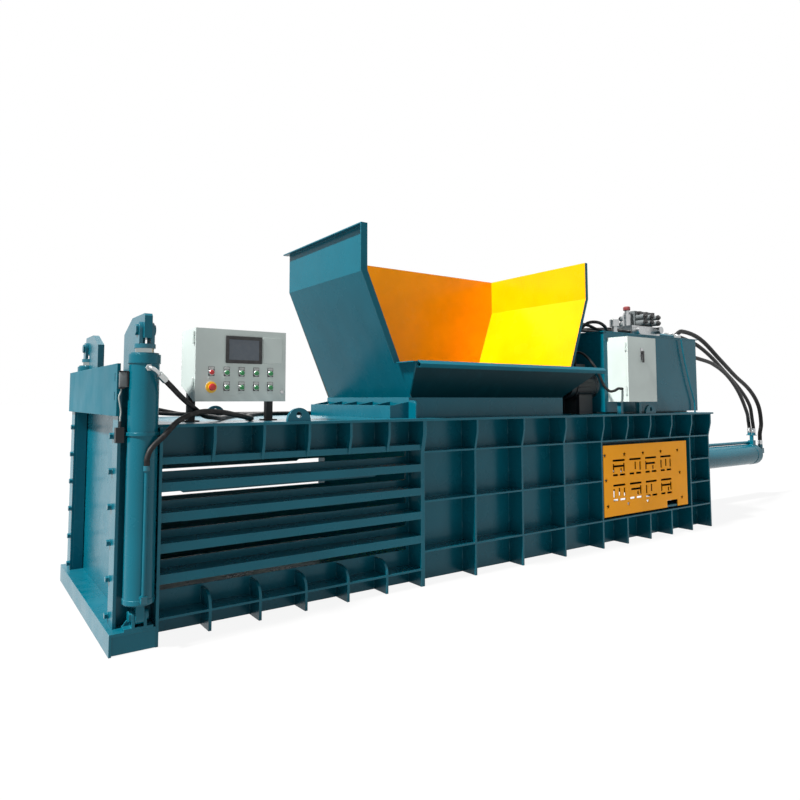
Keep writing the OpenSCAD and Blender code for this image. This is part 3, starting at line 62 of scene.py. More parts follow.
class Finish:
    """One procedural finish: a material with its shader and shortcuts to add nodes."""

    def __init__(self, name):
        self.material = bpy.data.materials.new(name)
        self.material.use_nodes = True
        self.tree = self.material.node_tree
        self.shader = self.tree.nodes["Principled BSDF"]
        self.place = self.tree.nodes.new("ShaderNodeTexCoord").outputs["Object"]
        self.facing = self.tree.nodes.new("ShaderNodeNewGeometry").outputs["Normal"]

    def put(self, value, socket):
        """Links another node's output, or sets a plain number or colour."""
        if isinstance(value, bpy.types.NodeSocket):
            self.tree.links.new(value, socket)
        else:
            socket.default_value = value

    def noise(self, scale, detail=4, stretch=None):
        place = self.place
        if stretch:
            mapping = self.tree.nodes.new("ShaderNodeMapping")
            mapping.inputs["Scale"].default_value = stretch
            self.put(place, mapping.inputs["Vector"])
            place = mapping.outputs[0]
        n = self.tree.nodes.new("ShaderNodeTexNoise")
        n.inputs["Scale"].default_value = scale
        n.inputs["Detail"].default_value = detail
        self.put(place, n.inputs["Vector"])
        return n.outputs["Fac"]

    def range(self, value, low, high, to_low=0.0, to_high=1.0):
        """Maps low to high onto to_low to to_high and holds the ends."""
        n = self.tree.nodes.new("ShaderNodeMapRange")
        for socket, number in zip(n.inputs, (value, low, high, to_low, to_high)):
            self.put(number, socket)
        return n.outputs[0]

    def math(self, kind, a, b=0.0):
        n = self.tree.nodes.new("ShaderNodeMath")
        n.operation = kind
        self.put(a, n.inputs[0])
        self.put(b, n.inputs[1])
        return n.outputs[0]

    def blend(self, amount, a, b, kind="MIX"):
        n = self.tree.nodes.new("ShaderNodeMix")
        n.data_type = "RGBA"
        n.blend_type = kind
        self.put(amount, n.inputs[0])
        self.put(a, n.inputs[6])
        self.put(b, n.inputs[7])
        return n.outputs[2]

    def axis(self, vector, which):
        n = self.tree.nodes.new("ShaderNodeSeparateXYZ")
        self.put(vector, n.inputs[0])
        return n.outputs[which]

    def bump(self, height, depth, normal=None, strength=1.0):
        n = self.tree.nodes.new("ShaderNodeBump")
        n.inputs["Strength"].default_value = strength
        n.inputs["Distance"].default_value = depth
        self.put(height, n.inputs["Height"])
        if normal:
            self.put(normal, n.inputs["Normal"])
        return n.outputs[0]

    def rounded(self, radius):
        """The normal of the surface as if its edges had this radius."""
        n = self.tree.nodes.new("ShaderNodeBevel")
        n.samples = 4
        n.inputs["Radius"].default_value = radius
        return n.outputs[0]

    def edge(self, rounded):
        """1 on an edge, where the rounded normal leaves the face's own, and 0 on a flat."""
        n = self.tree.nodes.new("ShaderNodeVectorMath")
        n.operation = "DOT_PRODUCT"
        self.put(rounded, n.inputs[0])
        self.put(self.facing, n.inputs[1])
        return self.range(n.outputs["Value"], 0.995, 0.86)


def rgb(r, g, b):
    """Shader colour from the 0 to 255 values of a colour card."""
    card = [v / 255 for v in (r, g, b)]
    return tuple(v / 12.92 if v < 0.04045 else ((v + 0.055) / 1.055) ** 2.4 for v in card) + (1,)


X_AXIS, Y_AXIS, Z_AXIS = 0, 1, 2
TEAL = rgb(0, 88, 105)
FADED_TEAL = rgb(40, 116, 130)
# Lighter teal for plate edges: partly paint worn thin, partly a painted highlight
TEAL_EDGE_WEAR_AND_HIGHLIGHT = rgb(84, 142, 152)
TEAL_DUST = rgb(96, 134, 140)
TEAL_SHEEN = (0.65, 0.9, 1.0, 1)
# Painted shade: the darker teal of the front lip below its rim, where the same teal plate lies in shade
LIP_PAINTED_SHADE = rgb(0, 40, 48)
ORANGE = rgb(255, 168, 0)
YELLOW = rgb(255, 172, 0)
TOOL_MARK = rgb(120, 122, 124)
MOULD_DUST = rgb(120, 120, 118)
METAL_EDGE = 0.0015
LIP_RIM_Z = 1.418
CABINET_FOOT_Z = 1.186
LIFT_ROD_PAINT_Z = 1.466
ROOF_FITTING_Z = 1.2


def enamel(name, colour, rough=0.24, wear_and_edge_highlight=None, dusty=0.10, radius=0.004, specular=0.35, tint=(1, 1, 1, 1),
           dust_tone=None, inside=None, inside_when=None, level=None, below=None):
    """Sprayed gloss enamel over plate: drift in tone, dust on level faces, thin bright edges.

    A second colour can stand on the faces that inside_when picks, or below a level.
    """
    f = Finish(name)
    base = colour
    faded = wear_and_edge_highlight or FADED_TEAL
    if inside:
        base = f.blend(inside_when(f), colour, inside)
        faded = f.blend(inside_when(f), faded, inside)
    # Below a level: teal feet on the cabinet, and painted shade on the front lip
    if level:
        base = f.blend(f.range(f.axis(f.place, Z_AXIS), level, level + 0.001), below, base)
    drift = f.range(f.noise(scale=0.9, detail=3), 0.3, 0.7, 0.86, 1.12)
    patches = f.range(f.noise(scale=7, detail=4), 0.35, 0.7, 0.97, 1.04)
    tone = f.blend(1.0, base, f.math("MULTIPLY", drift, patches), "MULTIPLY")
    streaks = f.range(f.noise(scale=5, detail=3, stretch=(3, 3, 0.25)), 0.56, 0.72, 0.0, 0.04)
    tone = f.blend(streaks, tone, faded)
    level_face = f.range(f.axis(f.facing, Z_AXIS), 0.6, 0.95)
    dust = f.math("MULTIPLY", level_face, f.range(f.noise(scale=16, detail=8), 0.35, 0.75, 0.0, dusty))
    tone = f.blend(dust, tone, dust_tone or TEAL_DUST)
    # Edges lighter in a thin band: partly paint worn thin, partly a painted highlight where edges catch the
    # light
    soft = f.rounded(radius)
    edge_wear_and_highlight = f.math("MULTIPLY", f.edge(soft), f.range(f.noise(scale=30, detail=6), 0.35, 0.65, 0.05, 0.4))
    tone = f.blend(edge_wear_and_highlight, tone, wear_and_edge_highlight or TEAL_EDGE_WEAR_AND_HIGHLIGHT)
    f.put(tone, f.shader.inputs["Base Color"])
    gloss = f.range(f.noise(scale=6, detail=4), 0.3, 0.7, rough - 0.03, rough + 0.07)
    f.put(f.math("ADD", gloss, f.math("MULTIPLY", dust, 0.8)), f.shader.inputs["Roughness"])
    wave = f.bump(f.noise(scale=3.2, detail=2), depth=0.006, normal=soft, strength=0.5)
    grain = f.bump(f.noise(scale=240, detail=3), depth=0.0003, normal=wave, strength=0.25)
    f.put(grain, f.shader.inputs["Normal"])
    f.shader.inputs["Specular IOR Level"].default_value = specular
    f.shader.inputs["Specular Tint"].default_value = tint
    return f.material


def partly_painted(name, level, painted_above, metal, rough):
    """Bare metal up to a height and teal enamel on the other side of it."""
    f = Finish(name)
    ends = (0.0, 1.0) if painted_above else (1.0, 0.0)
    paint = f.range(f.axis(f.place, Z_AXIS), level - 0.0005, level + 0.0005, *ends)
    f.put(f.blend(paint, metal, TEAL), f.shader.inputs["Base Color"])
    f.put(f.math("SUBTRACT", 1.0, paint), f.shader.inputs["Metallic"])
    f.put(f.range(paint, 0.0, 1.0, rough, 0.3), f.shader.inputs["Roughness"])
    grain = f.bump(f.noise(scale=120, detail=3), depth=0.0003, normal=f.rounded(0.002), strength=0.3)
    f.put(grain, f.shader.inputs["Normal"])
    return f.material


def bare_metal(name, colour, rough, grain=(1, 1, 12)):
    """Turned, ground or plated metal with fine lines from the tool."""
    f = Finish(name)
    lines = f.noise(scale=90, detail=5, stretch=grain)
    f.put(f.blend(f.range(lines, 0.35, 0.65, 0.0, 0.35), colour, TOOL_MARK), f.shader.inputs["Base Color"])
    f.shader.inputs["Metallic"].default_value = 1.0
    gloss = f.range(f.noise(scale=25, detail=5), 0.3, 0.7, rough - 0.04, rough + 0.12)
    f.put(gloss, f.shader.inputs["Roughness"])
    marks = f.bump(lines, depth=0.0003, normal=f.rounded(METAL_EDGE), strength=0.3)
    f.put(marks, f.shader.inputs["Normal"])
    return f.material


def moulded(name, colour, rough, fine=320, depth=0.0003, specular=0.5):
    """Rubber or plastic with a fine moulded skin and a little dust."""
    f = Finish(name)
    tone = f.blend(f.range(f.noise(scale=40, detail=5), 0.45, 0.75, 0.0, 0.12), colour, MOULD_DUST)
    f.put(tone, f.shader.inputs["Base Color"])
    gloss = f.range(f.noise(scale=60, detail=4), 0.3, 0.7, rough - 0.06, rough + 0.08)
    f.put(gloss, f.shader.inputs["Roughness"])
    f.put(f.bump(f.noise(scale=fine, detail=3), depth, strength=0.5), f.shader.inputs["Normal"])
    f.shader.inputs["Specular IOR Level"].default_value = specular
    return f.material


def faces_door(f):
    return f.range(f.axis(f.facing, X_AXIS), -0.35, -0.6)


def faces_tank(f):
    return f.range(f.axis(f.facing, X_AXIS), 0.35, 0.6)


def faces_near(f):
    return f.range(f.axis(f.facing, Y_AXIS), -0.6, -0.9)


teal = enamel("teal_enamel", TEAL, tint=TEAL_SHEEN)
teal_yellow = enamel("teal_outside_yellow_inside", TEAL, inside=YELLOW, inside_when=faces_door, specular=0.15)
teal_orange = enamel("teal_outside_orange_inside", TEAL, inside=ORANGE, inside_when=faces_tank, specular=0.15)
orange_teal = enamel("orange_towards_the_feed", TEAL, inside=ORANGE, inside_when=faces_near, specular=0.15)
guard_teal = enamel("guard_enamel", TEAL, rough=0.42, specular=0.1, tint=TEAL_SHEEN)
# Front lip: teal on the rim above LIP_RIM_Z, painted shade on the plate below it
lip_green = enamel("lip_enamel_with_painted_shade", TEAL, rough=0.4, specular=0.12, tint=TEAL_SHEEN, level=LIP_RIM_Z,
                   below=LIP_PAINTED_SHADE)
cover_orange = enamel("cover_enamel", rgb(255, 168, 4), rough=0.4, wear_and_edge_highlight=rgb(226, 150, 40), specular=0.15,
                      dust_tone=rgb(200, 150, 80))
pale_coat = enamel("pale_box_coat", rgb(194, 206, 203), rough=0.35, wear_and_edge_highlight=rgb(206, 212, 208), radius=0.003,
                   dust_tone=rgb(180, 188, 186), level=CABINET_FOOT_Z, below=TEAL)
black_coat = enamel("black_coat", rgb(20, 23, 27), rough=0.45, wear_and_edge_highlight=rgb(60, 64, 68), radius=0.003)
chrome = bare_metal("hard_chrome", rgb(214, 217, 220), 0.10)
lift_rod_finish = partly_painted("lift_rod_finish", LIFT_ROD_PAINT_Z, True, rgb(150, 160, 160), 0.18)
fitting_finish = partly_painted("hose_fitting_finish", ROOF_FITTING_Z, False, rgb(186, 190, 190), 0.28)
plated = bare_metal("zinc_plate", rgb(190, 193, 194), 0.28, grain=(4, 4, 4))
ground = bare_metal("ground_blade", rgb(150, 153, 156), 0.32, grain=(1, 12, 1))
rubber = moulded("hose_rubber", rgb(11, 12, 14), 0.5, specular=0.25)
black_plastic = moulded("black_plastic", rgb(22, 23, 25), 0.38)
grey_plastic = moulded("grey_plastic", rgb(92, 98, 100), 0.42)
red_plastic = moulded("red_plastic", rgb(190, 22, 24), 0.22)
dull_red = moulded("dull_red_plastic", rgb(120, 44, 46), 0.4)
green_plastic = moulded("green_plastic", rgb(18, 128, 66), 0.22)
cable_grey = moulded("cable_sheath", rgb(150, 158, 156), 0.4)
yellow_plastic = moulded("yellow_plastic", rgb(238, 190, 20), 0.3)
silver_plate = moulded("legend_plate_finish", rgb(176, 180, 180), 0.3)
glass = moulded("screen_glass", rgb(74, 84, 94), 0.08, fine=90, depth=0.0001)

node_finish = {
    teal: "side_wall_near side_wall_far tie_bars floor_plate top_plate rear_plate sill_beam door_posts "
          "guide_strips frame_bolts door_panel door_arms lift_barrels lift_feet lift_pins ram_block "
          "shear_beam main_barrel hopper_collar lifting_lugs oil_tank steel_pipes",
    teal_yellow: "hopper_right_wall",
    teal_orange: "hopper_left_wall",
    orange_teal: "hopper_back_wall",
    guard_teal: "guard_plate",
    lip_green: "front_lip",
    cover_orange: "window_cover",
    pale_coat: "console_case console_door cabinet_case cabinet_door",
    black_coat: "motor fan_cowl console_legs limit_switch",
    grey_plastic: "solenoid_valves",
    chrome: "ram_rod",
    lift_rod_finish: "lift_rods",
    fitting_finish: "hose_fittings",
    plated: "filler_cap valve_block pump_block",
    ground: "ram_knife shear_blade",
    black_plastic: "motor_fan cabinet_handle touch_screen",
    rubber: "lift_hoses main_hoses",
    red_plastic: "e_stop button_1",
    green_plastic: " ".join(f"button_{i}" for i in range(2, 10)),
}
for material, names in node_finish.items():
    for name in names.split():
        piece = nodes[name]
        piece.data.materials.clear()
        piece.data.materials.append(material)


# Modelling by hand

def clear():
    """Leaves nothing selected."""
    bpy.ops.object.select_all(action="DESELECT")


def close(piece, name, material, body, angle=30):
    """The last steps of a piece: place into the mesh, shading, finish, body."""
    clear()
    piece.select_set(True)
    bpy.context.view_layer.objects.active = piece
    bpy.ops.object.transform_apply(location=True, rotation=True, scale=True)
    bpy.ops.object.shade_smooth_by_angle(angle=math.radians(angle))
    piece.name = name
    piece.data.materials.clear()
    piece.data.materials.append(material)
    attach(piece, body)
    return piece


def turned(steps, sides=32):
    """A turned form on the Z axis from steps of radius and height.

    The end disc is extruded to each next height and scaled to its radius.
    """
    clear()
    r, z = steps[0]
    mesh.primitive_circle_add(vertices=sides, radius=r, location=(0, 0, z), fill_type="NGON")
    piece = bpy.context.object
    bpy.ops.object.transform_apply(location=True)
    bpy.ops.object.mode_set(mode="EDIT")
    mesh.select_mode(type="FACE")
    mesh.select_all(action="SELECT")
    for next_r, next_z in steps[1:]:
        mesh.extrude_region_move(TRANSFORM_OT_translate={"value": (0, 0, next_z - z)})
        if next_r != r:
            scale = next_r / r
            bpy.ops.transform.resize(value=(scale, scale, 1), center_override=(0, 0, next_z))
        r, z = next_r, next_z
    mesh.select_all(action="SELECT")
    mesh.normals_make_consistent(inside=False)
    bpy.ops.object.mode_set(mode="OBJECT")
    return piece


def block(low, high, bevel=0.002, segments=2):
    """A plate or box between two corners with its edges rounded."""
    clear()
    low, high = Vector(low), Vector(high)
    mesh.primitive_cube_add(size=1, location=(low + high) / 2)
    piece = bpy.context.object
    piece.scale = high - low
    bpy.ops.object.transform_apply(location=True, rotation=True, scale=True)
    bpy.ops.object.mode_set(mode="EDIT")
    mesh.select_all(action="SELECT")
    mesh.bevel(offset=bevel, segments=segments, affect="EDGES")
    bpy.ops.object.mode_set(mode="OBJECT")
    return piece


def lay(piece, direction, at):
    """Turns a form made on the Z axis to point along a direction and moves its foot to a point."""
    piece.rotation_mode = "QUATERNION"
    piece.rotation_quaternion = up.rotation_difference(Vector(direction))
    piece.location = at
    return piece


def join(pieces):
    clear()
    for piece in pieces:
        piece.select_set(True)
    bpy.context.view_layer.objects.active = pieces[0]
    bpy.ops.object.join()
    return pieces[0]


def repeat(piece, places):
    """Copies of a piece, each with its own mesh, one at each place, joined into one."""
    copies = [piece]
    piece.location = places[0]
    for place in places[1:]:
        copy = piece.copy()
        copy.data = piece.data.copy()
        copy.location = place
        bpy.context.collection.objects.link(copy)
        copies.append(copy)
    return join(copies)


# Hoses and the motor's cable, with their points in millimetres

ROUTE_STEPS = 6


def route(points):
    """The smooth line of a hose through its points, in metres."""
    p = [Vector(q) / 1000 for q in points]
    line = []
    for i in range(len(p) - 1):
        a, b, c, d = p[max(i - 1, 0)], p[i], p[i + 1], p[min(i + 2, len(p) - 1)]
        length = (c - b).length
        u, w = (c - a).normalized() * length, (d - b).normalized() * length
        for j in range(ROUTE_STEPS):
            t = j / ROUTE_STEPS
            line.append((2 * t ** 3 - 3 * t * t + 1) * b + (t ** 3 - 2 * t * t + t) * u
                        + (3 * t * t - 2 * t ** 3) * c + (t ** 3 - t * t) * w)
    return line + [p[-1]]


def hose(name, points, radius, node, material=rubber):
    """A free hose of the frame that takes the place of a plain solid, where there is one."""
    line = route(points)
    data = bpy.data.curves.new(name, "CURVE")
    data.dimensions = "3D"
    data.bevel_depth = radius
    data.bevel_resolution = 5
    data.use_fill_caps = True
    spline = data.splines.new("POLY")
    spline.points.add(len(line) - 1)
    for point, co in zip(spline.points, line):
        point.co = (*co, 1)
    piece = bpy.data.objects.new(name, data)
    bpy.context.collection.objects.link(piece)
    data.materials.append(material)
    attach(piece, "frame")
    if node:
        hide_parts(node)
    return piece


LIFT_X, LIFT_Y = -95, 745
PORT_HIGH, COUPLING = 1367, 868
ROOF_REST = 1100
TANK_END, VALVE_X, VALVE_Z = 5200, 4400, 1798
PORT_X, PORT_Y, PORT_END = 7400, -30, 793.8
PORT_SIDE = 25
END_HOSE_X, END_PORT_Y, END_HOSE_Z = 7566, -50, 643.3
HOSE_START = TANK_END + 50.3
HIGH_Y, HIGH_Z = -280, VALVE_Z + 70
MIDDLE_Y, MIDDLE_Z = -350, VALVE_Z + 52
LOW_Y, LOW_Z = -420, 1650
HIGH_HOSE_R, LOW_HOSE_R, LIFT_HOSE_R = 0.023, 0.020, 0.014
MOTOR_CABLE_R, SWITCH_CABLE_R = 0.011, 0.004


def straight_out(y, z, last_x, last_z=0):
    """The first stretch of a main hose, straight out of the tank's end."""
    return [(HOSE_START, y, z), (HOSE_START + 40, y, z), (HOSE_START + last_x, y, z + last_z)]


hose("main_hose_high", straight_out(HIGH_Y, HIGH_Z, 110) + [
    (5500, -278, 1926), (5906, -250, 1868), (6400, -200, 1660), (6879, -120, 1487), (7317, -70, 1322),
    (7552, -54, 1128), (7612, -50, 905), (END_HOSE_X + 4, -50, 780),
    (END_HOSE_X, END_PORT_Y, END_HOSE_Z + 80), (END_HOSE_X, END_PORT_Y, END_HOSE_Z + 40),
    (END_HOSE_X, END_PORT_Y, END_HOSE_Z)],
    HIGH_HOSE_R, "main_hoses")
hose("main_hose_middle", straight_out(MIDDLE_Y, MIDDLE_Z, 120, -4) + [
    (5650, -345, 1790), (6006, -300, 1683), (6500, -200, 1520), (7000, -110, 1330), (7310, -66, 1130),
    (PORT_X - 16, PORT_Y - PORT_SIDE, PORT_END + 150), (PORT_X, PORT_Y - PORT_SIDE, PORT_END + 70),
    (PORT_X, PORT_Y - PORT_SIDE, PORT_END + 35), (PORT_X, PORT_Y - PORT_SIDE, PORT_END)],
    LOW_HOSE_R, "main_hoses")
hose("main_hose_low", straight_out(LOW_Y, LOW_Z, 110) + [
    (5620, -405, 1628), (5958, -355, 1590), (6404, -270, 1480), (6850, -170, 1290), (7230, -70, 1040),
    (PORT_X - 34, PORT_Y + 15, PORT_END + 140), (PORT_X, PORT_Y + PORT_SIDE, PORT_END + 70),
    (PORT_X, PORT_Y + PORT_SIDE, PORT_END + 35), (PORT_X, PORT_Y + PORT_SIDE, PORT_END)],
    LOW_HOSE_R, "main_hoses")
hose("motor_cable", [
    (3799.7, -740, 1300), (3770, -740, 1300), (3740, -740, 1300), (3708, -732, 1284), (3672, -708, 1278),
    (3640, -680, 1322), (3618, -650, 1410), (3598, -600, 1510), (3578, -530, 1590), (3570, -470, 1612),
    (3570, -440, 1575), (3570, -440, 1540), (3570, -440, 1512.3)],
    MOTOR_CABLE_R, "main_hoses")


def along_roof(y, x):
    """Along the far edge of the roof plate, past the hopper."""
    return [(x, y, ROOF_REST + 1), (x + 80, y, ROOF_REST), (3220, y, ROOF_REST), (3300, y, ROOF_REST + 2)]


def from_top(side):
    """From a lift cylinder's high port down to the roof's edge."""
    out = LIFT_Y + 96
    return [(LIFT_X + 82.3, side * (out - 11.2), PORT_HIGH - 62.3),
            (LIFT_X + 100, side * (out - 21), PORT_HIGH - 77),
            (LIFT_X + 118, side * (out - 31), PORT_HIGH - 92),
            (LIFT_X + 190, side * (out - 71), PORT_HIGH - 152),
            (240, side * (LIFT_Y - 95), 1128)]


def from_bottom(side):
    """From the coupling on a lift cylinder's low pipe up to the roof's edge."""
    tube = LIFT_Y + 97
    return [(LIFT_X, side * tube, COUPLING + 24.3), (LIFT_X, side * tube, COUPLING + 40),
            (LIFT_X, side * tube, COUPLING + 56), (LIFT_X + 18, side * (LIFT_Y + 90), 970),
            (-10, side * (LIFT_Y + 66), 1030), (80, side * (LIFT_Y + 20), 1106),
            (200, side * (LIFT_Y - 20), 1146), (330, side * (LIFT_Y - 40), 1142)]


def to_valve(y, z):
    """The last stretch of a lift hose, straight into the valve group."""
    return [(VALVE_X - 80, y, z), (VALVE_X - 40, y, z), (VALVE_X - 0.3, y, z)]


hose("lift_hose_top_near", from_top(-1) + [
    (330, -545, 1112), (400, -440, ROOF_REST + 4), (450, -340, ROOF_REST + 1), (520, -200, ROOF_REST),
    (620, -20, ROOF_REST), (740, 180, ROOF_REST), (860, 370, ROOF_REST), (990, 530, ROOF_REST),
    (1150, 602, ROOF_REST)] + along_roof(615, 1320) + [
    (3400, 590, ROOF_REST + 2), (3480, 510, ROOF_REST + 8), (3550, 380, ROOF_REST + 24), (3610, 200, 1180),
    (3664, 30, 1300), (3690, -100, 1450), (3692, -270, 1660), (3694, -380, 1800), (3720, -460, 1876),
    (3800, -505, 1886), (3920, -490, 1860), (4080, -400, VALVE_Z + 40)] + to_valve(-405, VALVE_Z + 50),
    LIFT_HOSE_R, "lift_hoses")
hose("lift_hose_low_near", from_bottom(-1) + [
    (430, -690, 1122), (510, -630, 1108), (565, -540, ROOF_REST + 2), (600, -430, ROOF_REST),
    (640, -300, ROOF_REST), (710, -120, ROOF_REST), (800, 90, ROOF_REST), (910, 300, ROOF_REST),
    (1050, 470, ROOF_REST), (1220, 562, ROOF_REST)] + along_roof(585, 1400) + [
    (3370, 545, ROOF_REST + 3), (3430, 450, ROOF_REST + 10), (3490, 300, 1132), (3550, 100, 1200),
    (3600, -60, 1330), (3648, -136, 1500), (3670, -200, 1680), (3700, -260, 1810), (3760, -320, 1880),
    (3860, -350, 1880), (4000, -350, 1850)] + to_valve(-350, VALVE_Z + 36),
    LIFT_HOSE_R, "lift_hoses")
hose("lift_hose_top_far", from_top(1) + [
    (350, 650, ROOF_REST + 12), (460, 646, ROOF_REST + 4)] + along_roof(645, 600) + [
    (3430, 636, ROOF_REST + 4), (3540, 590, ROOF_REST + 14), (3620, 510, 1150), (3660, 430, 1250),
    (3670, 350, 1500), (3676, 290, 1740), (3696, 250, 1850), (3780, 190, 1880),
    (4060, -130, 1860)] + to_valve(-306, VALVE_Z + 30),
    LIFT_HOSE_R, "lift_hoses")
hose("lift_hose_low_far", from_bottom(1) + [
    (430, 694, 1122), (520, 678, ROOF_REST + 4)] + along_roof(675, 660) + [
    (3470, 674, ROOF_REST + 4), (3590, 650, ROOF_REST + 16), (3660, 580, 1160), (3688, 500, 1260),
    (3692, 420, 1500), (3690, 350, 1740), (3700, 320, 1850), (3800, 250, 1880),
    (4100, -60, 1880)] + to_valve(-270, VALVE_Z + 84),
    LIFT_HOSE_R, "lift_hoses")

# Crimped sleeves on the main hoses: each step's rise over the hose and its distance along it
LONG_SLEEVE = ((0.001, 0), (0.007, 0.004), (0.007, 0.018), (0.003, 0.021), (0.007, 0.024), (0.007, 0.046),
               (0.003, 0.049), (0.006, 0.052), (0.005, 0.070), (0.001, 0.074))
SHORT_SLEEVE = ((0.001, 0), (0.004, 0.004), (0.004, 0.020), (0.002, 0.023), (0.004, 0.026), (0.004, 0.050),
                (0.001, 0.054))
TANK_ENDS = ((HOSE_START, HIGH_Y, HIGH_Z), (HOSE_START, MIDDLE_Y, MIDDLE_Z), (HOSE_START, LOW_Y, LOW_Z))
CYLINDER_ENDS = ((END_HOSE_X, END_PORT_Y, END_HOSE_Z), (PORT_X, PORT_Y - PORT_SIDE, PORT_END),
                 (PORT_X, PORT_Y + PORT_SIDE, PORT_END))
sleeves = []
for ends, outline, direction in ((TANK_ENDS, LONG_SLEEVE, (1, 0, 0)), (CYLINDER_ENDS, SHORT_SLEEVE, up)):
    for end, hose_r in zip(ends, (HIGH_HOSE_R, LOW_HOSE_R, LOW_HOSE_R)):
        sleeve = turned([(hose_r + rise, along) for rise, along in outline], 24)
        sleeves.append(lay(sleeve, direction, Vector(end) / 1000))
close(join(sleeves), "hose_sleeves", plated, "frame")

# Operator box: buttons in two rows of five, with the emergency stop in one of the places
FACE_Y = -0.600
DOOR_BACK = 0.0019
BUTTON_X, BUTTON_Z = 0.299, 1.361
BUTTON_DX, BUTTON_DZ = 0.088, 0.082
ROW, STOP_PLACE = 5, 5
BUTTON_CAP = ((0.0108, -0.009), (0.0108, 0.0112), (0.0128, 0.0114), (0.0134, 0.0124), (0.0134, 0.0150),
              (0.0120, 0.0168), (0.0080, 0.0172))
BUTTON_RING = ((0.0152, 0.0021), (0.0172, 0.0021), (0.0172, 0.0070), (0.0160, 0.0088), (0.0152, 0.0090))
LEGEND = dict(half=0.0155, low=0.0180, high=0.0315, out=0.0032, bevel=0.0005)
LEGEND_FRAME = dict(half=0.0175, low=-0.0195, high=0.0330, out=0.0027, bevel=0.0004)


def door_plate(x, z, half, low, high, out, bevel):
    """A thin plate on the operator box's door, set round a spot."""
    return block((x - half, FACE_Y - out, z + low), (x + half, FACE_Y - DOOR_BACK, z + high), bevel, 1)


def on_door(outline, x, z, sides=32):
    """A turned form that stands on the operator box's door."""
    return lay(turned(outline, sides), NEAR_SIDE, (x, FACE_Y, z))


spots = [(BUTTON_X + BUTTON_DX * (i % ROW), BUTTON_Z - BUTTON_DZ * (i // ROW)) for i in range(2 * ROW)]
stop_x, stop_z = spots.pop(STOP_PLACE)
rings, plates, frames = [], [], []
for number, (x, z) in enumerate(spots, start=1):
    material, slot = (red_plastic, "red_plastic") if number == 1 else (green_plastic, "green_plastic")
    cap = close(on_door(BUTTON_CAP, x, z), f"button_cap_{number}", material, f"button_{number}")
    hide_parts(f"button_{number}")
    rings.append(on_door(BUTTON_RING, x, z))
    plates.append(door_plate(x, z, **LEGEND))
    frames.append(door_plate(x, z, **LEGEND_FRAME))
close(join(rings), "button_rings", plated, "console_door")
close(join(plates), "legend_plates", silver_plate, "console_door")
close(join(frames), "legend_frames", black_plastic, "console_door")

# Emergency stop: a mushroom on a yellow collar plate
STOP_HEAD = ((0.0108, -0.008), (0.0108, 0.0120), (0.0150, 0.0135), (0.0192, 0.0160), (0.0200, 0.0190),
             (0.0200, 0.0245), (0.0188, 0.0275), (0.0150, 0.0292), (0.0095, 0.0298), (0.0050, 0.0300))
STOP_COLLAR = ((0.0320, 0.0021), (0.0320, 0.0030), (0.0300, 0.0036), (0.0170, 0.0036), (0.0165, 0.0080),
               (0.0140, 0.0082))
head = close(on_door(STOP_HEAD, stop_x, stop_z, 48), "stop_mushroom", red_plastic, "e_stop")
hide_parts("e_stop")
close(on_door(STOP_COLLAR, stop_x, stop_z, 48), "stop_collar", yellow_plastic, "console_door")

# Screen: a frame with its glass set in, and a blank plate beside it
SCREEN = (0.379, 1.415, 0.598, 1.570)
SCREEN_OUT, SCREEN_RIM, SCREEN_SINK = 0.007, 0.016, 0.0022
PANE_RIM, PANE_BACK, PANE_FRONT = 0.0185, 0.0045, 0.0051
BLANK = (0.605, 1.420, 0.725, 1.570)
BLANK_BACK, BLANK_FRONT = 0.0021, 0.0032
x0, z0, x1, z1 = SCREEN
screen = block((x0, FACE_Y - SCREEN_OUT, z0), (x1, FACE_Y, z1), bevel=0.0025, segments=3)
bpy.ops.object.mode_set(mode="EDIT")
mesh.select_mode(type="FACE")
mesh.select_all(action="DESELECT")
bpy.ops.object.mode_set(mode="OBJECT")
for face in screen.data.polygons:
    face.select = face.normal.y < -0.99 and face.area > 0.01
bpy.ops.object.mode_set(mode="EDIT")
mesh.inset(thickness=SCREEN_RIM)
mesh.extrude_region_move(TRANSFORM_OT_translate={"value": (0, SCREEN_SINK, 0)})
bpy.ops.transform.resize(value=(0.985, 1, 0.98))
bpy.ops.object.mode_set(mode="OBJECT")
close(screen, "screen_frame", black_plastic, "console_door")
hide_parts("touch_screen")
pane = block((x0 + PANE_RIM, FACE_Y - PANE_FRONT, z0 + PANE_RIM),
             (x1 - PANE_RIM, FACE_Y - PANE_BACK, z1 - PANE_RIM), bevel=0.0002, segments=1)
close(pane, "screen_pane", glass, "console_door")
x0, z0, x1, z1 = BLANK
blank = block((x0, FACE_Y - BLANK_FRONT, z0), (x1, FACE_Y - BLANK_BACK, z1), bevel=0.0005, segments=1)
close(blank, "blank_side_plate", pale_coat, "console_door")

# Round heads on the hinge pins of both boxes, and the lock of the operator box
PIN_HEAD = ((0.0046, 0.0003), (0.0046, 0.0014), (0.0034, 0.0026))
PIN_L = 0.066
HINGE_FEET = ((0.203, -0.580, 1.260), (0.203, -0.580, 1.520), (3.794, -0.780, 1.250), (3.794, -0.780, 1.620))
LOCK = ((0.013, 0), (0.013, 0.003), (0.0115, 0.0045), (0.0085, 0.0048), (0.0080, 0.0020), (0.0010, 0.0020))
LOCK_X, LOCK_Z = 0.728, 1.255
heads = []
for x, y, foot in HINGE_FEET:
    heads.append(lay(turned(PIN_HEAD, 20), (0, 0, -1), (x, y, foot)))
    heads.append(lay(turned(PIN_HEAD, 20), up, (x, y, foot + PIN_L)))
close(join(heads), "hinge_pin_heads", plated, "frame")
close(on_door(LOCK, LOCK_X, LOCK_Z, 28), "console_lock", plated, "console_door")

